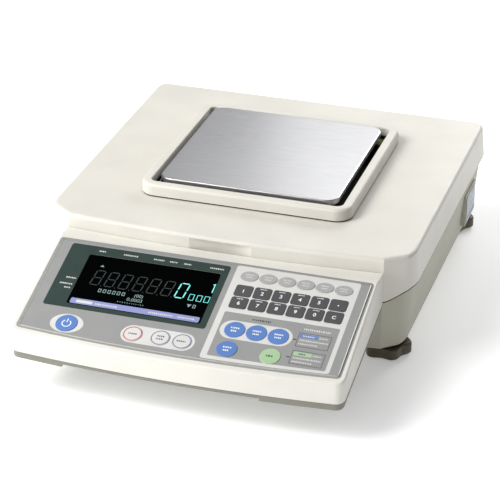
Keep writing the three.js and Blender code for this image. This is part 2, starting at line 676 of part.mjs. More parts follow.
function panelOverlay() {
  const top = GAP - PANEL_RECESS + PANEL_SHEET;
  const sheet = prism(panelOutline(), GAP - PANEL_RECESS, top);
  const { left, right, back, front } = WINDOW;
  const window = prism(roundedRect([left, right], [-front, -back], 2), -5, 5);
  const holes = KEYS.map((key) => keyAt(key.plan, KEY_CLEARANCE, -5, 5, key));
  return cut(sheet, window, ...holes);
}

function displayWindow() {
  const { left, right, back, front } = WINDOW;
  const plan = roundedRect([left + GAP, right - GAP], [GAP - front, -back - GAP], 2);
  return prism(plan, GAP - PANEL_RECESS, -0.45);
}

function displayTube() {
  const glass = block([-102, 4], [-69, -21], [-13, -4]);
  const pinRow = block([-96, -2], [-71, -69.5], [-10, -8]);
  return join(glass, pinRow.add(block([-96, -2], [-70, -68], [-10, -8])));
}

function keySwitchBoard() {
  const z = [BOARD_TOP - BOARD_THICKNESS, BOARD_TOP];
  const right = block([19, 134], [-108, -2], z);
  const front = block([-122, 30], [-108, -84], z);
  return join(right, front);
}

// ---------------------------------------------------------------- assembly

const COLOURS = {
  casing: { color: 0xebe8e1, roughness: 0.5 },
  tray: { color: 0xb9b8ae, roughness: 0.6 },
  steel: { color: 0xc4c7cc, roughness: 0.3, metalness: 1 },
  aluminium: { color: 0xb4b6b8, roughness: 0.45, metalness: 1 },
  panel: { color: 0xa5a6a0, roughness: 0.45 },
  glass: { color: 0x10161a, roughness: 0.1 },
  board: { color: 0x2d6b3f, roughness: 0.6 },
  knob: { color: 0x463c28, roughness: 0.6 },
  rubber: { color: 0x202020, roughness: 0.9 },
  label: { color: 0xc6ccd6, roughness: 0.4 },
  black: { color: 0x1b1b1d, roughness: 0.5 },
  keyDark: { color: 0x4b4b4e, roughness: 0.5 },
  keyGrey: { color: 0xaaaaaa, roughness: 0.5 },
  keyBlue: { color: 0x5a82d2, roughness: 0.45 },
  keyGreen: { color: 0xaad7a0, roughness: 0.45 },
  keyWhite: { color: 0xe8e6e4, roughness: 0.45 },
};

const scale = new THREE.Group();
scale.add(consoleFrame);

function addPiece(name, solid, colour, parent = scale) {
  const mesh = new THREE.Mesh(geometryOf(solid), new THREE.MeshStandardMaterial(COLOURS[colour]));
  mesh.name = name;
  parent.add(mesh);
  return mesh;
}

addPiece('base_case', baseCase(), 'casing');
addPiece('top_cover', topCover(), 'casing');
addPiece('pan_surround', panSurround(), 'casing');
addPiece('weighing_pan', weighingPan(), 'steel');
addPiece('pan_support', panSupport(), 'aluminium');
addPiece('load_cell', loadCell(), 'aluminium');
addPiece('load_cell_spacer', loadCellSpacer(), 'steel');
addPiece('chassis_plate', chassisPlate(), 'steel');
addPiece('main_board', mainBoard(), 'board');
addPiece('power_transformer', powerTransformer(), 'black');
addPiece('power_inlet', powerInlet(), 'black');
addPiece('data_connector', dataConnector(), 'steel');
addPiece('bubble_level', bubbleLevel(), 'glass');
addPiece('rating_label', ratingLabel(), 'label');
addPiece('console_upper_case', consoleUpperCase(), 'casing');
addPiece('console_lower_case', consoleLowerCase(), 'tray');
addPiece('console_bracket', consoleBracket(), 'steel');

for (const [sideName, side] of [['left', -1], ['right', 1]]) {
  for (const end of ['front', 'rear']) {
    const corner = `${end}_${sideName}`;
    addPiece(`case_screw_${corner}`, caseScrew(side * SCREW_X, SCREW_Y[end]), 'steel');
    addPiece(`foot_pad_${corner}`, footPad(side * FOOT_X, FOOT_Y[end]), 'rubber');
    addPiece(`foot_knob_${corner}`, footKnob(side * FOOT_X, FOOT_Y[end]), 'knob');
  }
}

addPiece('panel_overlay', panelOverlay(), 'panel', consoleFrame);
addPiece('display_window', displayWindow(), 'glass', consoleFrame);
addPiece('display_tube', displayTube(), 'glass', consoleFrame);
addPiece('key_switch_board', keySwitchBoard(), 'board', consoleFrame);
for (const key of KEYS) {
  const cap = addPiece(key.name, keySolid(key.plan), key.colour, consoleFrame);
  cap.position.set(key.x, -key.s, 0);
}

export default scale;
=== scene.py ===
"""Looks of the counting scale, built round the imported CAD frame.

Shapes are drawn in millimetres and turned into metres when a mesh is made. The console's
panel has its own coordinates: x across, s down the slope from the panel's back edge, and
n square to the panel, upwards.
"""

import math
import random

import bmesh
import bpy
from mathutils import Matrix, Vector
from mathutils.geometry import tessellate_polygon


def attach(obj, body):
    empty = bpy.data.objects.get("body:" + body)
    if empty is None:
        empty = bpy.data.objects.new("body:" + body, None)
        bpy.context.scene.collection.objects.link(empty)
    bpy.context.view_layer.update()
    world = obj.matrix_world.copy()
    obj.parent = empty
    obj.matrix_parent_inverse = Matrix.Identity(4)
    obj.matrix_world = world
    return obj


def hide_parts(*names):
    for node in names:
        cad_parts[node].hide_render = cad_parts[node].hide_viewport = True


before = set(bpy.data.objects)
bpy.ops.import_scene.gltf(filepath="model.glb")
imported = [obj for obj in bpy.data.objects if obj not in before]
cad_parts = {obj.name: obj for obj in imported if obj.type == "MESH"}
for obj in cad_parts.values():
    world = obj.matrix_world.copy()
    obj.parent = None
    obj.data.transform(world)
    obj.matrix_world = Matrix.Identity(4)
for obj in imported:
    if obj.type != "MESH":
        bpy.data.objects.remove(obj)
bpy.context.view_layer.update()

MM = 0.001

# ---------------------------------------------------------------- dimensions, in millimetres

TOP = 103.0
WALL = 2.5
FRONT = -85.0
CREASE_X = 142.7
FRONT_BOW = 6.5
SHOULDER_Y = FRONT + 17
TOP_FILLET = 4.0
HALF_WIDTH = 165.3       # at the foot of the top fillet
BACK = 217.0
SIDE_DRAFT = 1.7         # how much wider the cover is at its parting line
BACK_DRAFT = 4.0
PARTING_SIDE = 70.5
PARTING_FRONT = 60.7
PARTING_RUN = 18.0
SCOOP_RADIUS = 107.0
SCOOP_Y = FRONT - FRONT_BOW + 4 - SCOOP_RADIUS
SCOOP_TOP = 100.0
SCOOP_EDGE_X = 28.07

PAN_Y = 63.3
PAN_TOP = 116.8
PAN_HALF = 82.5
PAN_CORNER = 12.0
RING_HALF_X = 97.5
RING_HALF_Y = 95.0
RING_CORNER = 15.0
WELL_HALF_X = 87.5
WELL_HALF_Y = 85.0
WELL_FLOOR = 84.5
LEVEL_X = 79.5
LEVEL_Y = PAN_Y + 77
SLOPE = math.atan(0.3048)
CONSOLE_BACK_Z = 90.2
PANEL_BACK_Y = -104.9
CONSOLE_FRONT_Y = -215.0
PANEL_HALF = 140.35
PANEL_LENGTH = 109.8
PANEL_BOW = 5.6
CONSOLE_BOW = 5.3
INK = 0.03               # thickness of a printed layer

# Heights n over the console's face
RECESS_FLOOR = -1.3
KEY_FOOT = -1.1
FILM_BOTTOM = -1.0
WINDOW_TOP = -0.42
FILM_TOP = -0.3
KEY_TOP = 0.3

FOOT_X = 141.0
FOOT_Y = {"front": -58.0, "rear": 195.0}
LABEL_X = 164.6

# ---------------------------------------------------------------- plane curves


def quad_curve(start, control, end, steps):
    """Points of a quadratic curve, without its last one."""
    found = []
    for i in range(steps):
        t = i / steps
        a, b, c = (1 - t) ** 2, 2 * t * (1 - t), t * t
        found.append(tuple(a * p + b * q + c * r for p, q, r in zip(start, control, end)))
    return found


def line(start, end, steps):
    """Points of a straight line, without its last one."""
    return [tuple(p + (q - p) * i / steps for p, q in zip(start, end)) for i in range(steps)]


def arc(centre, radius, start, end, steps):
    angles = [math.radians(start + (end - start) * i / steps) for i in range(steps + 1)]
    return [(centre[0] + radius * math.cos(a), centre[1] + radius * math.sin(a)) for a in angles]


def round_rect(x0, x1, y0, y1, radius, steps=8):
    left, right, low, high = x0 + radius, x1 - radius, y0 + radius, y1 - radius
    points = []
    for i, centre in enumerate([(right, low), (right, high), (left, high), (left, low)]):
        points += arc(centre, radius, 90 * i - 90, 90 * i, steps)
    return points


def ellipse(cx, cy, rx, ry, steps=48):
    angles = [2 * math.pi * i / steps for i in range(steps)]
    return [(cx + rx * math.cos(a), cy + ry * math.sin(a)) for a in angles]


def inset(outline, distance):
    """Moves a counter-clockwise outline inwards, by one distance or by one for each point."""
    count = len(outline)
    moved = []
    for i, (x, y) in enumerate(outline):
        before = Vector((x - outline[i - 1][0], y - outline[i - 1][1])).normalized()
        after_point = outline[(i + 1) % count]
        after = Vector((after_point[0] - x, after_point[1] - y)).normalized()
        inward = Vector((-before.y - after.y, before.x + after.x)).normalized()
        stretch = max(0.3, inward.x * -before.y + inward.y * before.x)
        step = distance[i] if isinstance(distance, list) else distance
        moved.append((x + inward.x * step / stretch, y + inward.y * step / stretch))
    return moved


def about_pan(half_x, half_y, radius, steps=12):
    return round_rect(-half_x, half_x, PAN_Y - half_y, PAN_Y + half_y, radius, steps)


def steps_between(low, high, count):
    return [low + (high - low) * i / (count - 1) for i in range(count)]


def rounding(radius, start, end, count):
    """Steps (inwards, upwards) round an edge, between two angles in degrees."""
    angles = [math.radians(angle) for angle in steps_between(start, end, count)]
    return [(radius * (1 - math.cos(a)), radius * math.sin(a)) for a in angles]


def at_height(outline, z):
    return [(x, y, z) for x, y in outline]


# ---------------------------------------------------------------- meshes


class Skin:
    """Points in millimetres and the faces between them, each face with its material's place."""

    def __init__(self):
        self.points = []
        self.faces = []

    def ring(self, points):
        start = len(self.points)
        self.points += [tuple(p) for p in points]
        return list(range(start, len(self.points)))

    def band(self, low, high, material=0):
        """Joins two rings that run counter-clockwise seen from above, with the faces outwards."""
        count = len(low)
        for i in range(count):
            j = (i + 1) % count
            self.faces.append(((low[i], low[j], high[j], high[i]), material))

    def bands(self, rings, material=0):
        indices = [self.ring(points) for points in rings]
        for low, high in zip(indices, indices[1:]):
            self.band(low, high, material)
        return indices

    def fill(self, outer, holes=(), up=True, material=0):
        """Fills a ring, less its holes, with triangles that face up or down."""
        loops = [list(outer)] + [list(hole) for hole in holes]
        flat = [[Vector((self.points[i][0], self.points[i][1], 0)) for i in loop] for loop in loops]
        names = [i for loop in loops for i in loop]
        for triangle in tessellate_polygon(flat):
            a, b, c = (names[i] for i in triangle)
            (ax, ay, _), (bx, by, _), (cx, cy, _) = (self.points[i] for i in (a, b, c))
            upwards = (bx - ax) * (cy - ay) - (by - ay) * (cx - ax) > 0
            self.faces.append(((a, b, c) if upwards == up else (a, c, b), material))

    def move(self, matrix):
        self.points = [tuple(matrix @ Vector(p)) for p in self.points]
        return self

    def add(self, other, material=0):
        start = len(self.points)
        self.points += other.points
        self.faces += [(tuple(start + i for i in face), own + material) for face, own in other.faces]
        return self

    def stamp(self, outline, span, material=0, holes=()):
        """Adds a flat print between two heights."""
        return self.add(plate(outline, *span, holes), material)


def plate(outline, low, high, holes=(), edge=0.0):
    """A flat solid with holes, its top edge broken by `edge`."""
    skin = Skin()
    tops = []
    bottoms = []
    for loop, turn in [(outline, 1)] + [(hole, -1) for hole in holes]:
        rings = [at_height(loop, low)]
        if edge:
            rings.append(at_height(loop, high - edge))
            loop = inset(loop, edge * turn)
        rings.append(at_height(loop, high))
        indices = [skin.ring(points) for points in rings]
        for below, above in zip(indices, indices[1:]):
            if turn > 0:
                skin.band(below, above)
            else:
                skin.band(above, below)
        bottoms.append(indices[0])
        tops.append(indices[-1])
    skin.fill(tops[0], tops[1:], up=True)
    skin.fill(bottoms[0], bottoms[1:], up=False)
    return skin


def lathe(profile, centre, steps=64, materials=None):
    """A turned solid, from (radius, height) pairs listed upwards from its underside."""
    skin = Skin()
    x, y = centre
    materials = materials or [0] * len(profile)
    rings = [
        skin.ring(at_height(ellipse(x, y, radius, radius, steps), z))
        for radius, z in profile
    ]
    for i, (low, high) in enumerate(zip(rings, rings[1:])):
        skin.band(low, high, materials[i])
    skin.fill(rings[0], up=False, material=materials[0])
    skin.fill(rings[-1], up=True, material=materials[-1])
    return skin


def cap(outline, low, high, edge, rise=0.0):
    """A key cap or tablet: straight sides, a rounded top edge, and a slightly crowned top."""
    skin = Skin()
    rings = [at_height(outline, low)]
    for draw, up in rounding(edge, 0, 90, 5):
        rings.append(at_height(inset(outline, draw), high - edge + up))
    cx = sum(x for x, _ in outline) / len(outline)
    cy = sum(y for _, y in outline) / len(outline)
    top = rings[-1]
    for share in (0.8, 0.5, 0.2):
        height = high + rise * (1 - share * share)
        rings.append([(cx + (x - cx) * share, cy + (y - cy) * share, height) for x, y, _ in top])
    indices = skin.bands(rings)
    skin.fill(indices[0], up=False)
    skin.fill(indices[-1], up=True)
    return skin


PANEL_FRAME = Matrix.Translation((0, PANEL_BACK_Y, CONSOLE_BACK_Z)) @ Matrix.Rotation(SLOPE, 4, "X")


def linked(name, data):
    made = bpy.data.objects.new(name, data)
    bpy.context.scene.collection.objects.link(made)
    return made


def piece(name, skin, materials, body, replaces=(), sharp=35, thickness=0.0):
    """Makes an object of a skin, in metres, on its body."""
    mesh = bpy.data.meshes.new(name)
    mesh.from_pydata([(x * MM, y * MM, z * MM) for x, y, z in skin.points], [], [f for f, _ in skin.faces])
    for material in materials:
        mesh.materials.append(material)
    for polygon, (_, place) in zip(mesh.polygons, skin.faces):
        polygon.material_index = place
    work = bmesh.new()
    work.from_mesh(mesh)
    bmesh.ops.remove_doubles(work, verts=work.verts, dist=1e-7)
    bmesh.ops.dissolve_degenerate(work, edges=work.edges, dist=1e-8)
    work.to_mesh(mesh)
    work.free()
    mesh.shade_smooth()
    mesh.set_sharp_from_angle(angle=math.radians(sharp))
    made = linked(name, mesh)
    if thickness:
        solid = made.modifiers.new("wall", "SOLIDIFY")
        solid.thickness = thickness * MM
        solid.offset = -1
        solid.use_even_offset = True
    finish_edges(made)
    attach(made, body)
    if replaces:
        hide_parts(*replaces)
    return made


def finish_edges(made):
    normals = made.modifiers.new("normals", "WEIGHTED_NORMAL")
    normals.keep_sharp = True
    normals.weight = 60


# ---------------------------------------------------------------- materials


class Nodes:
    """A short way to write a material's nodes."""

    def __init__(self, name):
        self.material = bpy.data.materials.new(name)
        self.material.use_nodes = True
        self.tree = self.material.node_tree
        self.shader = self.tree.nodes["Principled BSDF"]
        self.place = self.tree.nodes.new("ShaderNodeTexCoord").outputs["Object"]

    def add(self, kind, settings=None, **inputs):
        node = self.tree.nodes.new("ShaderNode" + kind)
        for key, value in (settings or {}).items():
            setattr(node, key, value)
        for key, value in inputs.items():
            socket = node.inputs[key.replace("_", " ")]
            if isinstance(value, bpy.types.NodeSocket):
                self.tree.links.new(value, socket)
            else:
                socket.default_value = value
        return node

    def link(self, source, socket):
        self.tree.links.new(source, self.shader.inputs[socket])

    def constant(self, socket, value):
        self.shader.inputs[socket].default_value = value

    def finish(self, colour, roughness, normal, specular=0.5, metallic=0.0):
        self.link(colour, "Base Color")
        self.link(roughness, "Roughness")
        self.link(normal, "Normal")
        self.constant("Specular IOR Level", specular)
        self.constant("Metallic", metallic)
        return self.material

    def noise(self, scale, detail=2.0, stretch=None, roughness=0.5):
        """Noise with `scale` features to the metre, drawn out along an axis by `stretch`."""
        place = self.place
        if stretch:
            place = self.add("Mapping", Vector=place, Scale=stretch).outputs["Vector"]
        node = self.add("TexNoise", Vector=place, Scale=scale, Detail=detail, Roughness=roughness)
        return node.outputs["Fac"]

    def spread(self, source, low, high, start=0.3, end=0.7):
        """Maps noise onto a range of numbers."""
        node = self.add("MapRange", Value=source, From_Min=start, From_Max=end, To_Min=low, To_Max=high)
        return node.outputs["Result"]

    def blend(self, factor, first, second):
        node = self.add("MixRGB", Fac=factor, Color1=first, Color2=second)
        return node.outputs["Color"]

    def bump(self, height, strength, distance, below=None):
        node = self.add("Bump", Height=height, Strength=strength, Distance=distance)
        if below is not None:
            self.tree.links.new(below, node.inputs["Normal"])
        return node.outputs["Normal"]


def tint(colour, factor):
    return tuple(min(1.0, c * factor) for c in colour[:3]) + (1.0,)


def srgb(red, green, blue):
    """A colour from its 0 to 255 screen values."""
    def linear(value):
        value /= 255
        return value / 12.92 if value <= 0.04045 else ((value + 0.055) / 1.055) ** 2.4
    return (linear(red), linear(green), linear(blue), 1.0)


def moulded(name, colour, roughness=0.45, grain=0.03, worn=0.03, specular=0.5, mottle=22):
    """Injection-moulded plastic: fine spark-eroded grain, slow shade changes, uneven gloss."""
    nodes = Nodes(name)
    slow = nodes.noise(mottle, 4.0)
    fine = nodes.noise(2600, 2.0)
    smudge = nodes.noise(75, 5.0, roughness=0.7)
    factor = nodes.spread(slow, 0.0, 1.0, 0.35, 0.65)
    speck = nodes.spread(fine, 0.0, 1.0)
    shade = nodes.blend(factor, tint(colour, 1 - worn), tint(colour, 1 + worn))
    speckled = nodes.add("MixRGB", {"blend_type": "MULTIPLY"}, Fac=0.05, Color1=shade, Color2=speck)
    gloss = nodes.spread(smudge, roughness - 0.06, roughness + 0.09)
    coarse_bump = nodes.bump(nodes.noise(420, 2.0), grain * 0.8, 0.0003)
    bump = nodes.bump(fine, grain * 6, 0.00012, coarse_bump)
    return nodes.finish(speckled.outputs["Color"], gloss, bump, specular)


def brushed(name, colour, along):
    """Brushed metal: fine lines along one axis, in several weights, with faint handling marks."""
    nodes = Nodes(name)
    roughness = 0.3
    lines = 2400
    short = 1.0 / 60
    stretch = tuple(short if axis == along else 1.0 for axis in "xyz")
    fine = nodes.noise(lines, 3.0, stretch, 0.65)
    broad = nodes.noise(lines / 7, 2.0, stretch, 0.6)
    marks = nodes.noise(28, 5.0, roughness=0.65)
    shade = nodes.blend(nodes.spread(fine, 0.0, 1.0), tint(colour, 0.82), tint(colour, 1.06))
    streaks = nodes.blend(nodes.spread(broad, 0.0, 0.3), shade, tint(colour, 0.95))
    worn = nodes.spread(fine, roughness - 0.03, roughness + 0.04)
    rough = nodes.add("Math", {"operation": "ADD"}, Value=worn)
    nodes.tree.links.new(nodes.spread(marks, -0.01, 0.02), rough.inputs[1])
    bump = nodes.bump(fine, 0.03, 0.00006)
    return nodes.finish(streaks, rough.outputs["Value"], bump, metallic=1.0)


def cast(name, colour, roughness=0.5, metallic=1.0, scale=900, depth=0.35):
    """Cast, sawn or plated metal: a fine uneven skin with darker pits."""
    nodes = Nodes(name)
    pits = nodes.noise(scale, 5.0, roughness=0.6)
    patches = nodes.noise(45, 3.0)
    shade = nodes.blend(nodes.spread(pits, 0.0, 1.0), tint(colour, 0.8), tint(colour, 1.08))
    shade = nodes.blend(nodes.spread(patches, 0.0, 0.5), shade, tint(colour, 0.88))
    gloss = nodes.spread(patches, roughness - 0.07, roughness + 0.12)
    return nodes.finish(shade, gloss, nodes.bump(pits, depth, 0.0001), metallic=metallic)


def film(name, colour, specular=0.5):
    """Printed film or ink: a very fine matt texture with slight ink density changes."""
    nodes = Nodes(name)
    roughness = 0.42
    fine = nodes.noise(5200, 2.0)
    slow = nodes.noise(60, 3.0)
    shade = nodes.blend(nodes.spread(slow, 0.0, 1.0), tint(colour, 0.975), tint(colour, 1.02))
    gloss = nodes.spread(slow, roughness - 0.04, roughness + 0.05)
    return nodes.finish(shade, gloss, nodes.bump(fine, 0.2, 0.00005), specular)


def glow(name, colour, strength):
    """A lit phosphor segment, with a slightly uneven surface; at a very low strength, a painted glow that
    lets unlit segments show.
    """
    nodes = Nodes(name)
    grain = nodes.noise(3000, 2.0)
    lit = nodes.blend(nodes.spread(grain, 0.0, 1.0), tint(colour, 0.9), tint(colour, 1.0))
    nodes.link(lit, "Emission Color")
    nodes.constant("Base Color", (0.02, 0.03, 0.03, 1.0))
    nodes.constant("Emission Strength", strength)
    nodes.link(nodes.spread(grain, 0.45, 0.6), "Roughness")
    return nodes.material


def glossy(name, colour, roughness=0.12, specular=0.3):
    """Hard smooth window or glass with faint dust."""
    nodes = Nodes(name)
    dust = nodes.noise(900, 6.0, roughness=0.8)
    slow = nodes.noise(30, 2.0)
    shade = nodes.blend(nodes.spread(dust, 0.0, 1.0, 0.62, 0.8), colour, tint(colour, 1.6))
    gloss = nodes.spread(slow, roughness, roughness + 0.08)
    return nodes.finish(shade, gloss, nodes.bump(slow, 0.02, 0.0002), specular)


IVORY = moulded("ivory_abs", srgb(221, 218, 209))
CONSOLE_IVORY = moulded("console_ivory_abs", srgb(226, 224, 216), roughness=0.42)
TRAY = moulded("console_tray_grey", srgb(134, 133, 123), roughness=0.55)
# The base gets a darker, greyer ivory than the cover.
BASE_IVORY = moulded("base_ivory_abs", srgb(180, 178, 163), roughness=0.5)
# Painted shade: near black for the deep well under the pan, and for the level's boss standing in it.
WELL_PAINTED_SHADE = moulded("well_painted_shade", srgb(38, 37, 34), roughness=0.65, worn=0.1)
# Painted shadow: dark grey on the cover's parting groove, and on the pan ring's foot seam, lower inner
# wall and underside, where the overhangs cast shade.
SEAM_PAINTED_SHADOW = moulded("painted_seam_shadow", srgb(52, 49, 41), roughness=0.8, specular=0.1)
PAN = brushed("brushed_pan_steel", srgb(206, 206, 208), "x")
ALUMINIUM = cast("cast_aluminium", srgb(178, 180, 182))
CONNECTOR = cast("connector_nickel", srgb(138, 138, 134), roughness=0.4, scale=500, depth=0.1)
PLATED = cast("zinc_plated_steel", srgb(190, 190, 184), roughness=0.35, scale=500, depth=0.12)
BLACK = moulded("black_nylon", srgb(27, 27, 29), roughness=0.5, worn=0.12)
RUBBER = moulded("foot_rubber", srgb(30, 29, 28), roughness=0.8, grain=0.08, worn=0.15)
KNOB = moulded("foot_knob_plastic", srgb(70, 62, 41), roughness=0.36, worn=0.25, mottle=160)
PANEL = film("panel_film_grey", srgb(149, 150, 149))
BEZEL = film("ink_bezel", srgb(46, 62, 58), specular=0.35)
WHITE_INK = film("ink_white", srgb(214, 213, 210))
BRIGHT_INK = film("ink_bright", srgb(244, 244, 242))
DARK_INK = film("ink_dark", srgb(70, 72, 76))
LAVENDER_INK = film("ink_lavender", srgb(142, 148, 196))
BLUE_INK = film("ink_blue", srgb(98, 130, 190))
GREEN_INK = film("ink_green", srgb(168, 198, 160))
FOIL_INK = film("ink_foil", srgb(120, 130, 152))
RED_INK = film("ink_red", srgb(190, 66, 68))
SLATE_INK = film("ink_slate", srgb(104, 114, 146))
WINDOW = glossy("display_window_black", (0.0008, 0.001, 0.001, 1.0), roughness=0.2, specular=0.01)
TUBE = glossy("display_tube_glass", (0.01, 0.012, 0.014, 1.0), roughness=0.08)
KEY_DARK = moulded("key_dark", srgb(76, 76, 79), roughness=0.5, worn=0.05)
KEY_GREY = moulded("key_grey", srgb(168, 168, 168), roughness=0.45)
KEY_BLUE = moulded("key_blue", srgb(92, 128, 192), roughness=0.42)
KEY_GREEN = moulded("key_green", srgb(168, 200, 156), roughness=0.42)
KEY_WHITE = moulded("key_white", srgb(216, 214, 212), roughness=0.42)
CYAN_LIT = glow("segment_lit", srgb(120, 245, 235), 1.3)
PALE_LIT = glow("segment_lit_pale", srgb(190, 225, 222), 0.55)
# Painted glow: the unlit segments emit faintly, so that they show.
UNLIT_PAINTED_GLOW = glow("segment_unlit_painted_glow", srgb(120, 120, 120), 0.02)
FOIL = cast("label_foil", srgb(196, 201, 211), roughness=0.42, metallic=0.35, scale=1600, depth=0.08)


def circuit_board():
    nodes = Nodes("circuit_board")
    grid = nodes.add(
        "TexBrick", {"offset": 0.5}, Vector=nodes.place, Scale=160.0, Mortar_Size=0.06,
        Color1=srgb(32, 104, 58), Color2=srgb(26, 90, 50), Mortar=srgb(96, 140, 84),
    )
    fine = nodes.noise(1400, 3.0)
    shade = nodes.blend(nodes.spread(fine, 0.0, 0.3), grid.outputs["Color"], srgb(18, 60, 36))
    bump = nodes.bump(grid.outputs["Fac"], 0.3, 0.0001)
    return nodes.finish(shade, nodes.spread(fine, 0.32, 0.5), bump)


BOARD = circuit_board()
LEVEL_LIQUID = glossy("level_liquid", srgb(150, 168, 96), roughness=0.05, specular=0.4)
LEVEL_BUBBLE = glossy("level_bubble", srgb(196, 206, 158), roughness=0.05, specular=0.4)

# ---------------------------------------------------------------- body


def parting_height(y):
    t = min(1.0, max(0.0, (y - FRONT) / PARTING_RUN))
    return PARTING_FRONT + (PARTING_SIDE - PARTING_FRONT) * t * t * (3 - 2 * t)


def front_xs():
    """Stations across the bowed front face, with one on each edge of the scoop."""
    outside = steps_between(-CREASE_X, -SCOOP_EDGE_X, 22)
    inside = steps_between(-SCOOP_EDGE_X, SCOOP_EDGE_X, 25)
    return outside[:-1] + inside + [-x for x in reversed(outside[:-1])]


def front_y(x):
    return FRONT - FRONT_BOW * (1 - (x / CREASE_X) ** 2)


def body_outline(half, back, scooped=False):
    """The body's plan, counter-clockwise from the left crease."""
    corner = 12.0
    points = []
    for x in front_xs():
        y = front_y(x)
        if scooped and abs(x) <= SCOOP_EDGE_X:
            y = max(y, SCOOP_Y + math.sqrt(SCOOP_RADIUS ** 2 - x * x))
        points.append((x, y))
    crease = points.pop()
    bend = (crease[0] + (half - crease[0]) * 0.72, crease[1] + (SHOULDER_Y - crease[1]) * 0.72)
    right = line(crease, bend, 9)
    right += quad_curve(bend, (half, SHOULDER_Y), (half, SHOULDER_Y + 16), 12)
    right += line((half, SHOULDER_Y + 16), (half, back - corner), 8)
    right += quad_curve((half, back - corner), (half, back), (half - corner, back), 10)
    left = [(-x, y) for x, y in reversed(right)]
    middle = line((half - corner, back), (corner - half, back), 8)
    return points + right + middle + left[:-1]


def cover_outline(z, scooped=False):
    flare = (TOP - TOP_FILLET - z) / (TOP - TOP_FILLET - PARTING_SIDE)
    half = HALF_WIDTH + flare * SIDE_DRAFT
    return body_outline(half, BACK + flare * BACK_DRAFT, scooped)


def top_cover():
    skin = Skin()
    groove = 0.35
    low = cover_outline(PARTING_SIDE, scooped=True)
    bottoms = [parting_height(y) + 0.3 for _, y in low]
    straight = TOP - TOP_FILLET

    def wall(share, draw=0.0, rise=0.0):
        """A ring `share` of the way up from the parting line to the top round."""
        lower = inset(low, draw)
        upper = inset(cover_outline(straight, scooped=True), draw)
        ring = []
        for (x0, y0), (x1, y1), bottom in zip(lower, upper, bottoms):
            z = bottom + (straight - bottom) * share + rise
            across = min(1.0, max(0.0, (z - PARTING_SIDE) / (straight - PARTING_SIDE)))
            ring.append((x0 + (x1 - x0) * across, y0 + (y1 - y0) * across, z))
        return ring

    rings = [wall(0, 0.5), wall(0, groove, 0.2), wall(0, groove, 1.2), wall(0, 0, 1.35)]
    rings += [wall(share) for share in (0.35, 0.7, 1.0)]
    ledge = math.degrees(math.asin((SCOOP_TOP - straight) / TOP_FILLET))
    turns = rounding(TOP_FILLET, ledge, 90, 9)
    for scooped, part in ((True, turns[:1]), (False, turns)):
        plan = cover_outline(straight, scooped)
        rings += [at_height(inset(plan, draw), straight + up) for draw, up in part]
    rings.append(at_height(inset(cover_outline(straight), TOP_FILLET + 1), TOP))
    # The parting groove's bands are painted with the dark seam shadow.
    skin.bands(rings[:4], 2)
    shoulder = skin.bands(rings[3:])[-1]

    lip = [(1.0, TOP), (0.3, TOP - 0.3), (0, TOP - 1)]
    depths = lip + [(0, 88), (-0.9, 85.4), (-3, WELL_FLOOR)]
    well_rings = []
    for grow, z in depths:
        plan = about_pan(WELL_HALF_X + grow, WELL_HALF_Y + grow, 6 + grow)
        well_rings.append(skin.ring(at_height(plan, z)))
    # Below the lip, the well's walls and floor are painted near black as shade.
    for i, (outer, inner) in enumerate(zip(well_rings, well_rings[1:])):
        skin.band(outer, inner, 0 if i + 1 < len(lip) else 1)
    hole = skin.ring(at_height(ellipse(0, PAN_Y, 24, 24, 64), WELL_FLOOR))
    skin.fill(shoulder, [well_rings[0]])
    skin.fill(well_rings[-1], [hole], material=1)
    return skin


piece(
    "cover_shell", top_cover(), [IVORY, WELL_PAINTED_SHADE, SEAM_PAINTED_SHADOW], "base",
    ["top_cover"], sharp=14, thickness=WALL,
)
# The level's boss gets the painted well shade.
boss = lathe([(8, WELL_FLOOR - 0.1), (8, 96.5), (7.6, 97)], (LEVEL_X - 0.3, LEVEL_Y - 0.3), 48)
piece("level_boss", boss, [WELL_PAINTED_SHADE], "base")


def offset_ring(half_x, half_y, radius, profile):
    """Rings round the pan, from (inward offset, height) pairs."""
    return [
        at_height(about_pan(half_x - draw, half_y - draw, radius - draw, 16), z)
        for draw, z in profile
    ]


def pan_surround():
    skin = Skin()
    crown = 3.4
    width = 9.0
    high = TOP + 12
    seam = [(0.45, TOP + 0.3), (0.45, TOP + 1.2), (0.1, TOP + 1.35)]
    profile = seam + [(0.0, TOP + 1.7), (0.35, TOP + 6.0)]
    profile += [(0.35 + draw, high - crown + up) for draw, up in rounding(crown, 10, 90, 8)]
    inner = 1.3
    profile += [(width - draw, high - inner + up) for draw, up in rounding(inner, 90, 0, 6)]
    profile += [(width, TOP + 4.0), (width, TOP - 0.2), (width - 2.2, TOP + 0.3)]
    rings = [skin.ring(points) for points in offset_ring(RING_HALF_X, RING_HALF_Y, RING_CORNER, profile)]
    # The foot seam's bands, and the ring's lower inner wall and underside, get the painted seam shadow.
    for i, (low, high) in enumerate(zip(rings, rings[1:] + rings[:1])):
        skin.band(low, high, 1 if i < 2 or i > len(rings) - 4 else 0)
    return skin


piece("pan_ring", pan_surround(), [IVORY, SEAM_PAINTED_SHADOW], "base", ["pan_surround"])


def weighing_pan():
    skin = Skin()
    sheet = 1.2
    bend = 1.0
    low = PAN_TOP - 4.8
    profile = [(sheet, low + 0.1), (0.9, low), (0.3, low), (0.0, low + 0.3)]
    profile += [(draw, PAN_TOP - bend + up) for draw, up in rounding(bend, 0, 90, 8)]
    profile.append((bend + 1.5, PAN_TOP))
    outside = skin.bands(offset_ring(PAN_HALF, PAN_HALF, PAN_CORNER, profile))
    skin.fill(outside[-1], up=True)
    under = [(sheet, PAN_TOP - sheet - 0.6), (sheet + 0.6, PAN_TOP - sheet)]
    inner = [skin.ring(points) for points in offset_ring(PAN_HALF, PAN_HALF, PAN_CORNER, under)]
    skin.band(inner[0], outside[0])
    skin.band(inner[1], inner[0])
    skin.fill(inner[1], up=False)
    return skin


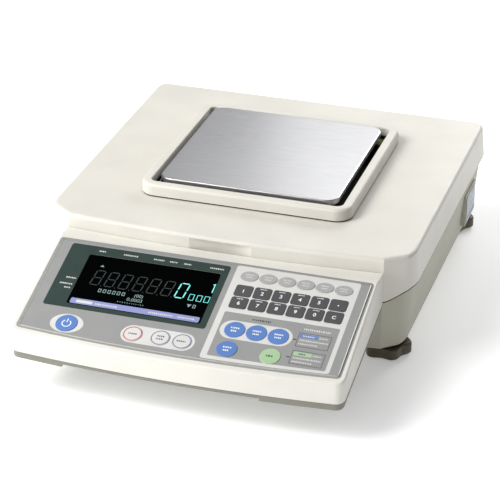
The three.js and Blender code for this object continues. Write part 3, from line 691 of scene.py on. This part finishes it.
piece("pan_plate", weighing_pan(), [PAN], "weighing_pan", ["weighing_pan"])


def bubble_level():
    profile = [
        (6.0, 97.3), (6.3, 97.6), (6.3, 102.6), (6.0, 103.2), (5.2, 103.6), (4.9, 103.4),
        (4.6, 103.9), (4.0, 104.6), (3.0, 105.2), (2.3, 105.5), (2.0, 105.6), (1.3, 105.75),
        (1.2, 105.9), (0.6, 106.0),
    ]
    housing, liquid, mark, bubble = range(4)
    parts = [housing] * 5 + [liquid] * 4 + [mark] + [liquid] + [bubble] * 2
    return lathe(profile, (LEVEL_X, LEVEL_Y), 48, parts)


piece(
    "level_vial", bubble_level(), [BLACK, LEVEL_LIQUID, DARK_INK, LEVEL_BUBBLE],
    "base", ["bubble_level"],
)

# ---------------------------------------------------------------- feet


def foot_knob(centre):
    low, high = 1.7, 12.2
    round_off = 1.5
    count = 144
    star = []
    for i in range(count):
        a = 2 * math.pi * i / count
        radius = 20.5 + 1.7 * math.cos(6 * a)
        star.append((radius * math.cos(a), radius * math.sin(a)))
    skin = Skin()
    rings = []
    for middle, angles in ((low + round_off, (-90, 0)), (high - round_off, (0, 90))):
        for draw, up in rounding(round_off, *angles, 5):
            rings.append(at_height(inset(star, draw), middle + up))
    stem = [(17.0, high), (9.0, high), (8.0, high + 0.2), (7.0, high + 0.8), (7.0, 13.5), (6.8, 13.7)]
    thread = [(4.0 if i % 2 else 3.5, 13.7 + 0.6 * i) for i in range(23)]
    metal_from = len(rings) + len(stem)
    for radius, z in stem + thread:
        rings.append(at_height(ellipse(0, 0, radius, radius, count), z))
    indices = [skin.ring(points) for points in rings]
    for i, (below, above) in enumerate(zip(indices, indices[1:])):
        skin.band(below, above, 1 if i >= metal_from else 0)
    skin.fill(indices[0], up=False)
    skin.fill(indices[-1], up=True, material=1)
    return skin.move(Matrix.Translation((*centre, 0)))


for side_name, side in (("left", -1), ("right", 1)):
    for end in ("front", "rear"):
        corner = f"{end}_{side_name}"
        centre = (side * FOOT_X, FOOT_Y[end])
        piece(
            f"knob_{corner}", foot_knob(centre), [KNOB, PLATED], f"foot_knob_{corner}",
            [f"foot_knob_{corner}"],
        )
        tread = [(11.5, 0.0), (12.4, 0.15), (13.0, 0.5), (13.0, 1.0), (12.7, 1.3), (12.2, 1.4)]
        piece(
            f"pad_{corner}", lathe(tread, centre), [RUBBER], f"foot_pad_{corner}",
            [f"foot_pad_{corner}"],
        )

# ---------------------------------------------------------------- console


def console_top(y):
    return CONSOLE_BACK_Z + min(0.0, y - PANEL_BACK_Y) * math.tan(SLOPE)


def console_parting(y):
    return 60 + (y - FRONT) * (60 - 37) / (FRONT - CONSOLE_FRONT_Y)


def console_outline():
    """The console's plan, counter-clockwise from the front left corner."""
    back, front, corner = 142.6, 144.5, 8.0
    back_y = FRONT - 0.4
    low = CONSOLE_FRONT_Y - 0.7
    side_y = CONSOLE_FRONT_Y + corner
    end_x = front - corner
    points = quad_curve((-front, side_y), (-front, CONSOLE_FRONT_Y), (-end_x, low), 10)
    points += quad_curve((-end_x, low), (0, low - 2 * CONSOLE_BOW), (end_x, low), 48)
    points += quad_curve((end_x, low), (front, CONSOLE_FRONT_Y), (front, side_y), 10)
    slope = (back - front) / (back_y - CONSOLE_FRONT_Y - corner)
    ys = [side_y, -190, -160, -130, PANEL_BACK_Y - 3, PANEL_BACK_Y, PANEL_BACK_Y + 3, -96]
    side = [(front + slope * (y - ys[0]), y) for y in ys]
    points += side
    points += quad_curve((back, back_y), (0, back_y - 2 * FRONT_BOW), (-back, back_y), 40)
    points += [(-back, back_y)] + [(-x, y) for x, y in reversed(side[1:])]
    return points


def panel_outline(grow=0.0, back_edge=0.0):
    """The panel's outline as (x, -s)."""
    half = PANEL_HALF + grow
    front = -PANEL_LENGTH - grow
    corner = 4.0
    low = front - 0.4
    points = quad_curve((-half, front + corner), (-half, front), (corner - half, low), 8)
    points += quad_curve((corner - half, low), (0, low - 2 * (PANEL_BOW - 0.4)), (half - corner, low), 48)
    points += quad_curve((half - corner, low), (half, front), (half, front + corner), 8)
    points += quad_curve((half, back_edge - corner), (half, back_edge), (half - corner, back_edge), 8)
    points += quad_curve((corner - half, back_edge), (-half, back_edge), (-half, back_edge - corner), 8)
    return points


def on_panel(points, n):
    return [tuple(PANEL_FRAME @ Vector((x, y, n))) for x, y in points]


# Openings in the recess for the keys and the display: x from and to, s from and to
OPENINGS = [
    (26.4, 126, 6.6, 53), (31, 88.5, 65.5, 107.8), (-109.5, -88.7, 87.3, 108.1),
    (-49.8, 11.9, 88.3, 107), (-104, 6, 19, 71),
]


def console_upper():
    skin = Skin()
    plan = console_outline()
    rounds = [0.5 if y > -100 else 1.7 for _, y in plan]
    edge = 0.4
    rings = []
    for draw, rise in ((edge, 0), (edge * 0.3, edge * 0.3), (0, edge)):
        rings.append([(x, y, console_parting(y) + rise) for x, y in inset(plan, draw)])
    for draw, up in rounding(1, 0, 90, 7):
        shrunk = inset(plan, [r * draw for r in rounds])
        rings.append([(x, y, console_top(y) - r + r * up) for (x, y), r in zip(shrunk, rounds)])
    draws = [r + 0.25 for r in rounds]
    rings.append([(x, y, console_top(y)) for x, y in inset(plan, draws)])
    outer = skin.bands(rings)[-1]

    right, left = [i for i, (_, y) in enumerate(plan) if abs(y - PANEL_BACK_Y) < 1e-6]
    rim = outer[right:left + 1]
    slope = outer[left:] + outer[:right + 1]
    recess = []
    for grow, back_edge, n in ((0.32, 0.12, 0.0), (0.14, 0.08, -0.18), (0.14, 0.08, RECESS_FLOOR)):
        recess.append(skin.ring(on_panel(panel_outline(grow, back_edge), n)))
    skin.band(recess[1], recess[0])
    skin.band(recess[2], recess[1])
    holes = []
    for x0, x1, s0, s1 in OPENINGS:
        holes.append(skin.ring(on_panel(round_rect(x0, x1, -s1, -s0, 2, 4), RECESS_FLOOR)))
    skin.fill(rim)
    skin.fill(slope, [recess[0]])
    skin.fill(recess[2], holes)
    return skin


piece(
    "console_shell", console_upper(), [CONSOLE_IVORY], "base",
    ["console_upper_case"], sharp=40, thickness=2.2,
)

# ---------------------------------------------------------------- keys and printing

FUNCTION_ROW = 13.5
DIGIT_ROWS = {31.0: ["1", "2", "3", "4", "5", "point"], 45.2: ["6", "7", "8", "9", "0", "clear"]}
COLUMNS = [35.1 + 16.45 * i for i in range(6)]


def key_list():
    """Each key: name, x, s, outline at the origin, slot."""
    keys = []
    oval = ellipse(0, 0, 7.75, 5.7)
    for i, x in enumerate(COLUMNS):
        keys.append((f"function_key_{i + 1}", x, FUNCTION_ROW, oval, "key_grey"))
    block = round_rect(-7.5, 7.5, -6.5, 6.5, 2.2, 6)
    for s, labels in DIGIT_ROWS.items():
        for x, label in zip(COLUMNS, labels):
            keys.append((f"key_{label}", x, s, block, "key_dark"))
    round_keys = [
        ("power_key", -99.1, 97.7, 18.8, "key_blue"),
        ("zero_key", -40.4, 97.8, 16.5, "key_white"),
        ("tare_set_key", -16.4, 97.4, 16.5, "key_white"),
        ("tare_key", 2.5, 97.6, 16.5, "key_white"),
        ("unit_weight_key", 41.1, 75.5, 17.6, "key_blue"),
        ("unit_input_key", 59.75, 75.5, 17.6, "key_blue"),
        ("sample_key", 78.4, 75.5, 17.6, "key_blue"),
        ("memory_key", 41.1, 97.7, 17.6, "key_blue"),
        ("enter_key", 78.1, 98.0, 17.0, "key_green"),
    ]
    for name, x, s, diameter, slot in round_keys:
        keys.append((name, x, s, ellipse(0, 0, diameter / 2, diameter / 2), slot))
    return keys


KEYS = key_list()


def moved(outline, dx, dy):
    return [(x + dx, y + dy) for x, y in outline]


def key_holes(clearance=0.15):
    return [moved(inset(outline, -clearance), x, -s) for _, x, s, outline, _ in KEYS]


def inside(point, outline):
    x, y = point
    hit = False
    for (x0, y0), (x1, y1) in zip(outline, outline[1:] + outline[:1]):
        if (y0 > y) != (y1 > y) and x < x0 + (y - y0) * (x1 - x0) / (y1 - y0):
            hit = not hit
    return hit


def ink(outline, holes=()):
    """One printed area on the film, with the key holes that fall inside it."""
    cuts = list(holes)
    for (_, x, s, _, _), hole in zip(KEYS, key_holes()):
        if inside((x, -s), outline):
            cuts.append(hole)
    return plate(outline, FILM_TOP, FILM_TOP + INK, cuts)


def bar(x0, x1, s0, s1, radius=0.25):
    radius = min(radius, (x1 - x0) / 2.1, (s1 - s0) / 2.1)
    return round_rect(x0, x1, -s1, -s0, radius, 3)


def marks(x0, x1, s, height, span, seed, gap=0.28):
    """A row of small plain blocks where the real panel has words."""
    draw = random.Random(seed)
    skin = Skin()
    x = x0
    while x < x1 - 0.3 * height:
        width = min(x1 - x, height * draw.uniform(0.3, 0.62))
        tall = height * draw.uniform(0.62, 0.85)
        skin.stamp(bar(x, x + width, s - tall / 2, s + tall / 2, 0.12), span)
        x += width + gap * height
    return skin


def ring_band(cx, cs, outer, width, span):
    inner = outer - width
    return plate(ellipse(cx, -cs, outer, outer), *span, [ellipse(cx, -cs, inner, inner)])


def text(body, size, cx, cs, span, weight=0.0):
    """Figures as a thin raised print, centred on a point of the panel."""
    low, high = span
    curve = bpy.data.curves.new("figure", "FONT")
    curve.body = body
    curve.size = size
    curve.offset = weight
    curve.align_x = "CENTER"
    curve.resolution_u = 4
    carrier = linked("figure", curve)
    bpy.context.view_layer.update()
    source = carrier.evaluated_get(bpy.context.evaluated_depsgraph_get())
    mesh = bpy.data.meshes.new_from_object(source)
    work = bmesh.new()
    work.from_mesh(mesh)
    bmesh.ops.remove_doubles(work, verts=work.verts, dist=1e-5)
    for face in work.faces:
        if face.normal.z < 0:
            face.normal_flip()
    grown = bmesh.ops.extrude_face_region(work, geom=list(work.faces))
    for part in grown["geom"]:
        if isinstance(part, bmesh.types.BMVert):
            part.co.z += high - low
    bmesh.ops.recalc_face_normals(work, faces=work.faces)
    ys = [v.co.y for v in work.verts]
    middle = (min(ys) + max(ys)) / 2
    skin = Skin()
    skin.points = [(v.co.x + cx, v.co.y - middle - cs, v.co.z + low) for v in work.verts]
    skin.faces = [(tuple(v.index for v in f.verts), 0) for f in work.faces]
    work.free()
    bpy.data.objects.remove(carrier)
    bpy.data.curves.remove(curve)
    bpy.data.meshes.remove(mesh)
    return skin


def window_outline():
    return round_rect(-108.5, 10.6, -75, -15, 2, 6)


def film_sheet():
    holes = [window_outline()] + key_holes(0.2)
    return plate(panel_outline(0.12, 0.0), FILM_BOTTOM, FILM_TOP, holes, edge=0.02)


piece("panel_film", film_sheet().move(PANEL_FRAME), [PANEL], "base", ["panel_overlay"])
window_plate = plate(round_rect(-108.3, 10.4, -74.8, -15.2, 1.9, 6), FILM_BOTTOM, WINDOW_TOP, edge=0.1)
piece("window_plate", window_plate.move(PANEL_FRAME), [WINDOW], "base", ["display_window"])


def follow_bow(x0, x1, top, depth, bow, radius):
    """An area whose lower edge follows the panel's bowed front."""
    def lower(x):
        return -(depth + bow * (1 - (x / PANEL_HALF) ** 2))
    points = quad_curve((x0, lower(x0) + radius), (x0, lower(x0)), (x0 + radius, lower(x0 + radius)), 6)
    points += [(x, lower(x)) for x in steps_between(x0 + radius, x1 - radius, 14)[:-1]]
    points += quad_curve((x1 - radius, lower(x1 - radius)), (x1, lower(x1)), (x1, lower(x1) + radius), 6)
    points += quad_curve((x1, -top - radius), (x1, -top), (x1 - radius, -top), 6)
    points += quad_curve((x0 + radius, -top), (x0, -top), (x0, -top - radius), 6)
    return points


def level_span(level):
    return FILM_TOP + INK * (level - 1) * 0.9, FILM_TOP + INK * level


def panel_print():
    """Everything printed on the film: one skin, with a material for each ink."""
    white, bezel, blue, green, dark = range(5)
    skin = Skin()
    skin.add(ink(round_rect(-127.8, 16.5, -80, -5, 2.5, 6), [window_outline()]), bezel)
    block = follow_bow(26.8, 126, 56.6, 103.6, 3.7, 1.6)
    skin.add(ink(follow_bow(21.4, 129.8, 2.0, 106, 5.2, 3.2), [block]), white)
    skin.add(ink(round_rect(28.4, 90.3, -85.8, -65.2, 10.2, 12)), white)
    skin.add(ink(ellipse(-99.1, -97.7, 14.5, 10.6)), white)
    skin.add(ink(round_rect(-50.8, 13.2, -107.4, -87.8, 9.75, 12)), white)

    span = level_span(2)
    labels = [
        (-101.5, -94.8), (-79.1, -65.8), (-51.7, -42.1), (-37.1, -30.6), (-24.5, -18.1), (-1.1, 11.7),
    ]
    for i, (x0, x1) in enumerate(labels):
        skin.add(marks(x0, x1, 10.2, 2.0, span, 10 + i), white)
    for i, (x0, s) in enumerate([(-118.8, 45.9), (-122.0, 53.2), (-116.4, 57.6)]):
        skin.add(marks(x0, -110.2, s, 2.0, span, 20 + i), white)

    span = level_span(1)
    skin.add(marks(52.0, 67.8, 61.2, 2.3, span, 30), dark)
    skin.add(marks(96.9, 120.1, 62.8, 2.6, span, 31), white)
    for top, bottom, tag, seed in ((67.0, 82.6, blue, 40), (87.0, 102.0, green, 50)):
        frame_outer = bar(94.4, 122.0, top, bottom, 0.3)
        frame_inner = bar(94.85, 121.55, top + 0.45, bottom - 0.45, 0.2)
        skin.stamp(frame_outer, span, dark, [frame_inner])
        skin.stamp(bar(95.6, 111.0, top + 1.3, top + 5.4, 0.4), span, tag)
        rows = [(112.0, 119.5, 3.4), (96.4, 120.4, 8.2), (96.4, 113.0, 12.2)]
        for i, (x0, x1, below) in enumerate(rows):
            skin.add(marks(x0, x1, top + below, 2.0, span, seed + i), white)
        middle = (top + bottom) / 2 + 0.6
        skin.stamp(bar(90.9, 93.9, middle - 0.6, middle + 0.6, 0.5), span, dark)
    span = level_span(2)
    skin.add(marks(98.0, 108.6, 70.4, 2.0, span, 60), white)
    skin.add(marks(100.0, 106.5, 90.4, 2.0, span, 61), dark)
    return skin


INKS = [WHITE_INK, BEZEL, BLUE_INK, GREEN_INK, DARK_INK]
piece("panel_print", panel_print().move(PANEL_FRAME), INKS, "base", sharp=20)


def figure(cx, cs, stroke, count, span):
    """The first bars of a seven-bar figure that leans to the right: an 8 has 7 and a 0 has 6."""
    half, middle = 3.8, 8.5
    lean = 0.1
    gap = stroke * 0.55
    skin = Skin()

    def segment(x0, y0, x1, y1):
        along = Vector((x1 - x0, y1 - y0)).normalized()
        side = Vector((-along.y, along.x)) * stroke / 2
        tip = along * stroke / 2
        start = Vector((x0, y0)) + along * gap
        end = Vector((x1, y1)) - along * gap
        return [start, start + tip - side, end - tip - side, end, end - tip + side, start + tip + side]

    bars = [
        (-half, middle, half, middle), (half, 0, half, middle), (half, -middle, half, 0),
        (-half, -middle, half, -middle), (-half, -middle, -half, 0), (-half, 0, -half, middle),
        (-half, 0, half, 0),
    ]
    for ends in bars[:count]:
        outline = [(x + y * lean + cx, y - cs) for x, y in segment(*ends)]
        skin.stamp(outline, span)
    return skin


def display_print():
    """What the display shows: a lit 0, unlit figures that show by a faint painted glow, and small generic
    marks.
    """
    lit, pale, unlit_glow, strip, white = range(5)
    skin = Skin()
    top = WINDOW_TOP + 0.02
    span = (WINDOW_TOP, top)
    over = (top, top + 0.02)
    first_x, pitch, middle_s = -16.0, 12.64, 41.2
    for i in range(6):
        left = pitch * (6 - i)
        skin.add(figure(first_x - left, middle_s, 0.9, 7, span), unlit_glow)
        skin.stamp(ellipse(-10.3 - left, -50.2, 0.5, 0.5, 12), span, unlit_glow)
    skin.add(figure(first_x, middle_s, 1.05, 6, span), lit)
    for cx in (-6.0, 1.0, 7.6):
        outer = bar(cx - 2.3, cx + 2.3, 43.4, 50.6, 0.3)
        skin.stamp(outer, span, lit, [bar(cx - 1.8, cx + 1.8, 43.9, 50.1, 0.2)])
    skin.stamp(bar(9.0, 9.9, 27.9, 38.5, 0.2), span, lit)
    skin.stamp(bar(7.7, 9.0, 28.6, 29.4, 0.2), span, lit)
    triangle = [(-94.6, -28.0), (-90.8, -28.0), (-92.7, -25.9)]
    skin.stamp(triangle, span, pale)
    arrow = [(-3.1, -55.2), (-5.0, -58.8), (-6.9, -55.2)]
    skin.stamp(arrow, span, pale)
    skin.stamp(bar(-1.6, 0.9, 55.0, 58.9, 0.3), span, pale, [bar(-1.0, 0.3, 55.6, 58.3, 0.2)])
    for i in range(6):
        cx = -85.0 + 4.25 * i
        outer = bar(cx - 1.35, cx + 1.35, 53.4, 57.4, 0.3)
        inner = bar(cx - 0.8, cx + 0.8, 54.0, 56.8, 0.2)
        skin.stamp(outer, span, pale, [inner])
    skin.add(text("(00)", 5.0, -50.0, 55.6, span), pale)
    skin.add(text("0.0003", 5.2, -52.0, 60.3, span), pale)
    skin.add(marks(-65.9, -42.0, 64.7, 1.3, span, 70, 1.1), pale)
    skin.stamp(round_rect(-105.8, 8.7, -74.1, -67.9, 1.3, 5), span, strip)
    skin.stamp(bar(-100.5, -86.0, 69.6, 72.6, 0.5), over, white)
    for i, (x0, x1) in enumerate([(-83.5, -63.0), (-36.0, -14.7), (-10.0, 4.2)]):
        skin.add(marks(x0, x1, 71.2, 2.2, over, 71 + i), white)
    return skin


DISPLAY_INKS = [CYAN_LIT, PALE_LIT, UNLIT_PAINTED_GLOW, LAVENDER_INK, WHITE_INK]
piece("display_figures", display_print().move(PANEL_FRAME), DISPLAY_INKS, "base", sharp=20)


def key_words(name, label, x):
    """The rows of marks on a key: left, right and s from its middle, then size and seed."""
    if name.startswith("function"):
        seed = int(label)
        return [(-3.6, 3.6, -1.5, 1.6, 100 + seed), (-2.6, 2.8, 1.3, 1.6, 120 + seed)]
    if label in ("1", "point", "clear", "power"):
        return []
    if label.isdigit():
        return [(-2.8, 2.8, -4.4, 1.2, 140 + int(label))]
    known = {
        "zero": [(-3.6, 3.6, 0, 2.1, 160)],
        "tare_set": [(-3.0, 3.0, -1.6, 2.2, 161), (-3.2, 3.2, 1.6, 2.2, 162)],
        "tare": [(-4.4, 4.4, 0, 2.2, 163)],
        "enter": [(-3.4, 3.4, 0, 2.8, 164)],
    }
    two_rows = [(-3.6, 3.8, -1.7, 2.0, 170 + int(x)), (-2.8, 2.8, 1.7, 2.0, 190 + int(x))]
    return known.get(label, two_rows)


def key_legend(name, x, s, face):
    """What is printed on a key: a figure or a generic sign, and plain marks."""
    span = (face - 0.01, face + 0.03)
    label = name.removeprefix("key_").removeprefix("function_key_").removesuffix("_key")
    skin = Skin()
    if label == "power":
        skin.stamp(bar(x - 0.4, x + 0.4, s - 5.0, s - 0.6, 0.3), span)
        centre = (x, -0.4 - s)
        skin.stamp(arc(centre, 4.1, 125, 415, 39) + arc(centre, 3.3, 415, 125, 39), span)
    elif label == "point":
        skin.stamp(ellipse(x, -s - 0.6, 0.7, 0.7, 16), span)
    elif label == "clear":
        skin.add(text("C", 5.1, x, s + 0.2, span, weight=0.1))
    elif name == f"key_{label}":
        skin.add(text(label, 5.4, x, s + 0.5, span, weight=0.1))
    for left, right, below, size, seed in key_words(name, label, x):
        skin.add(marks(x + left, x + right, s + below, size, span, seed))
    return skin


KEY_LOOKS = {
    "key_grey": [KEY_GREY, WHITE_INK], "key_dark": [KEY_DARK, BRIGHT_INK],
    "key_blue": [KEY_BLUE, BRIGHT_INK], "key_white": [KEY_WHITE, DARK_INK],
    "key_green": [KEY_GREEN, DARK_INK],
}
for name, x, s, outline, slot in KEYS:
    rise = 0.08
    rim = KEY_TOP - rise
    skin = cap(moved(outline, x, -s), KEY_FOOT, rim, 0.3, rise)
    skin.add(key_legend(name, x, s, KEY_TOP - 0.02), 1)
    materials = list(KEY_LOOKS[slot])
    if slot == "key_white":
        materials.append(RED_INK if name == "zero_key" else SLATE_INK)
        skin.add(ring_band(x, s, 7.9, 0.85, (rim - 0.05, rim + 0.05)), 2)
    piece(f"cap_{name}", skin.move(PANEL_FRAME), materials, name, [name])

# ---------------------------------------------------------------- rating label


def rating_label():
    """A foil label on the right side, with plain blocks in place of its text."""
    face = Matrix(((0, 0, 1, LABEL_X), (1, 0, 0, 0), (0, 1, 0, 0), (0, 0, 0, 1)))
    foil = 0.45
    span = (foil, foil + INK)
    skin = plate(round_rect(150, 185, 28, 53, 1.2, 5), 0, foil, edge=0.1)
    for i in range(5):
        skin.add(marks(152.5, 180 - 4 * (i % 3), 3.3 * i - 50, 1.4, span, 200 + i), 1)
    skin.stamp(round_rect(152.5, 182.5, 29.8, 33.4, 0.4, 3), span, 1)
    return skin.move(face)


piece("rating_plate", rating_label(), [FOIL, FOIL_INK], "base", ["rating_label"])

# ---------------------------------------------------------------- carried-over nodes


def dress(node, material, bevel=0.4):
    """Gives a CAD node its material, merges its flat faces and softens its edges."""
    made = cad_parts[node]
    if not made.material_slots:
        made.data.materials.append(material)
    for slot in made.material_slots:
        slot.material = material
    flat = made.modifiers.new("flat", "DECIMATE")
    flat.decimate_type = "DISSOLVE"
    flat.angle_limit = math.radians(0.6)
    soft = made.modifiers.new("soft", "BEVEL")
    soft.width = bevel * MM
    soft.segments = 2
    soft.limit_method = "ANGLE"
    soft.angle_limit = math.radians(32)
    soft.use_clamp_overlap = True
    finish_edges(made)


dress("base_case", BASE_IVORY, 0.6)
dress("console_lower_case", TRAY, 0.5)
dress("console_bracket", PLATED)
dress("chassis_plate", PLATED)
dress("load_cell_spacer", PLATED)
dress("load_cell", ALUMINIUM)
dress("pan_support", ALUMINIUM, 0.8)
dress("power_inlet", BLACK, 0.3)
dress("power_transformer", BLACK, 0.6)
dress("data_connector", CONNECTOR, 0.3)
dress("main_board", BOARD, 0.2)
dress("key_switch_board", BOARD, 0.2)
dress("display_tube", TUBE, 0.5)
for side_name in ("left", "right"):
    for end in ("front", "rear"):
        dress(f"case_screw_{end}_{side_name}", PLATED, 0.3)

# ---------------------------------------------------------------- stage


def floor():
    mesh = bpy.data.meshes.new("floor")
    size = 30.0
    corners = [(-size, -size, 0), (size, -size, 0), (size, size, 0), (-size, size, 0)]
    mesh.from_pydata(corners, [], [(0, 1, 2, 3)])
    made = linked("floor", mesh)
    nodes = Nodes("pale_floor")
    cloud = nodes.noise(6, 3.0)
    nodes.link(nodes.blend(cloud, (0.90, 0.90, 0.90, 1), (0.93, 0.93, 0.93, 1)), "Base Color")
    nodes.constant("Roughness", 0.9)
    nodes.constant("Specular IOR Level", 0.1)
    nodes.constant("Emission Color", (1, 1, 1, 1))
    nodes.constant("Emission Strength", 0.32)
    mesh.materials.append(nodes.material)


def area_light(name, place, target, width, height, power, colour=(1, 1, 1)):
    light = bpy.data.lights.new(name, "AREA")
    light.shape = "RECTANGLE"
    light.size = width
    light.size_y = height
    light.energy = power
    light.color = colour
    made = linked(name, light)
    made.location = place
    made.rotation_euler = (Vector(target) - Vector(place)).to_track_quat("-Z", "Y").to_euler()


def studio():
    world = bpy.data.worlds.new("studio")
    bpy.context.scene.world = world
    world.use_nodes = True
    background = world.node_tree.nodes["Background"]
    background.inputs["Color"].default_value = (0.95, 0.97, 1.0, 1)
    background.inputs["Strength"].default_value = 0.2
    area_light("key", (-1.3, -0.9, 1.7), (0, 0, 0.05), 1.2, 1.2, 50, (1.0, 0.99, 0.975))
    area_light("rear", (0, 1.6, 1.4), (0, 0, 0.05), 1.6, 0.9, 4.6)
    area_light("near_left", (-0.55, -0.8, 0.42), (-0.1, -0.1, 0.07), 0.35, 0.35, 2.9)
    area_light("pan_right", (0.3, 0.8, 0.5), (0, 0.06, 0.117), 0.5, 0.4, 3.6)
    area_light("pan_middle", (-0.04, 0.85, 0.52), (0, 0.06, 0.117), 0.4, 0.4, 0.5)


def camera():
    azimuth, elevation = math.radians(17.7), math.radians(27.66)
    target = Vector((-7.06, 15.0, 38.34)) * MM
    distance = 1870.64 * MM
    back = Vector((
        math.sin(azimuth) * math.cos(elevation),
        -math.cos(azimuth) * math.cos(elevation),
        math.sin(elevation),
    ))
    lens = bpy.data.cameras.new("camera")
    lens.lens = 147.57
    lens.sensor_width = 36.0
    made = linked("camera", lens)
    made.location = target + back * distance
    made.rotation_euler = (-back).to_track_quat("-Z", "Y").to_euler()
    bpy.context.scene.camera = made


floor()
studio()
camera()
bpy.context.scene.view_settings.view_transform = "Standard"
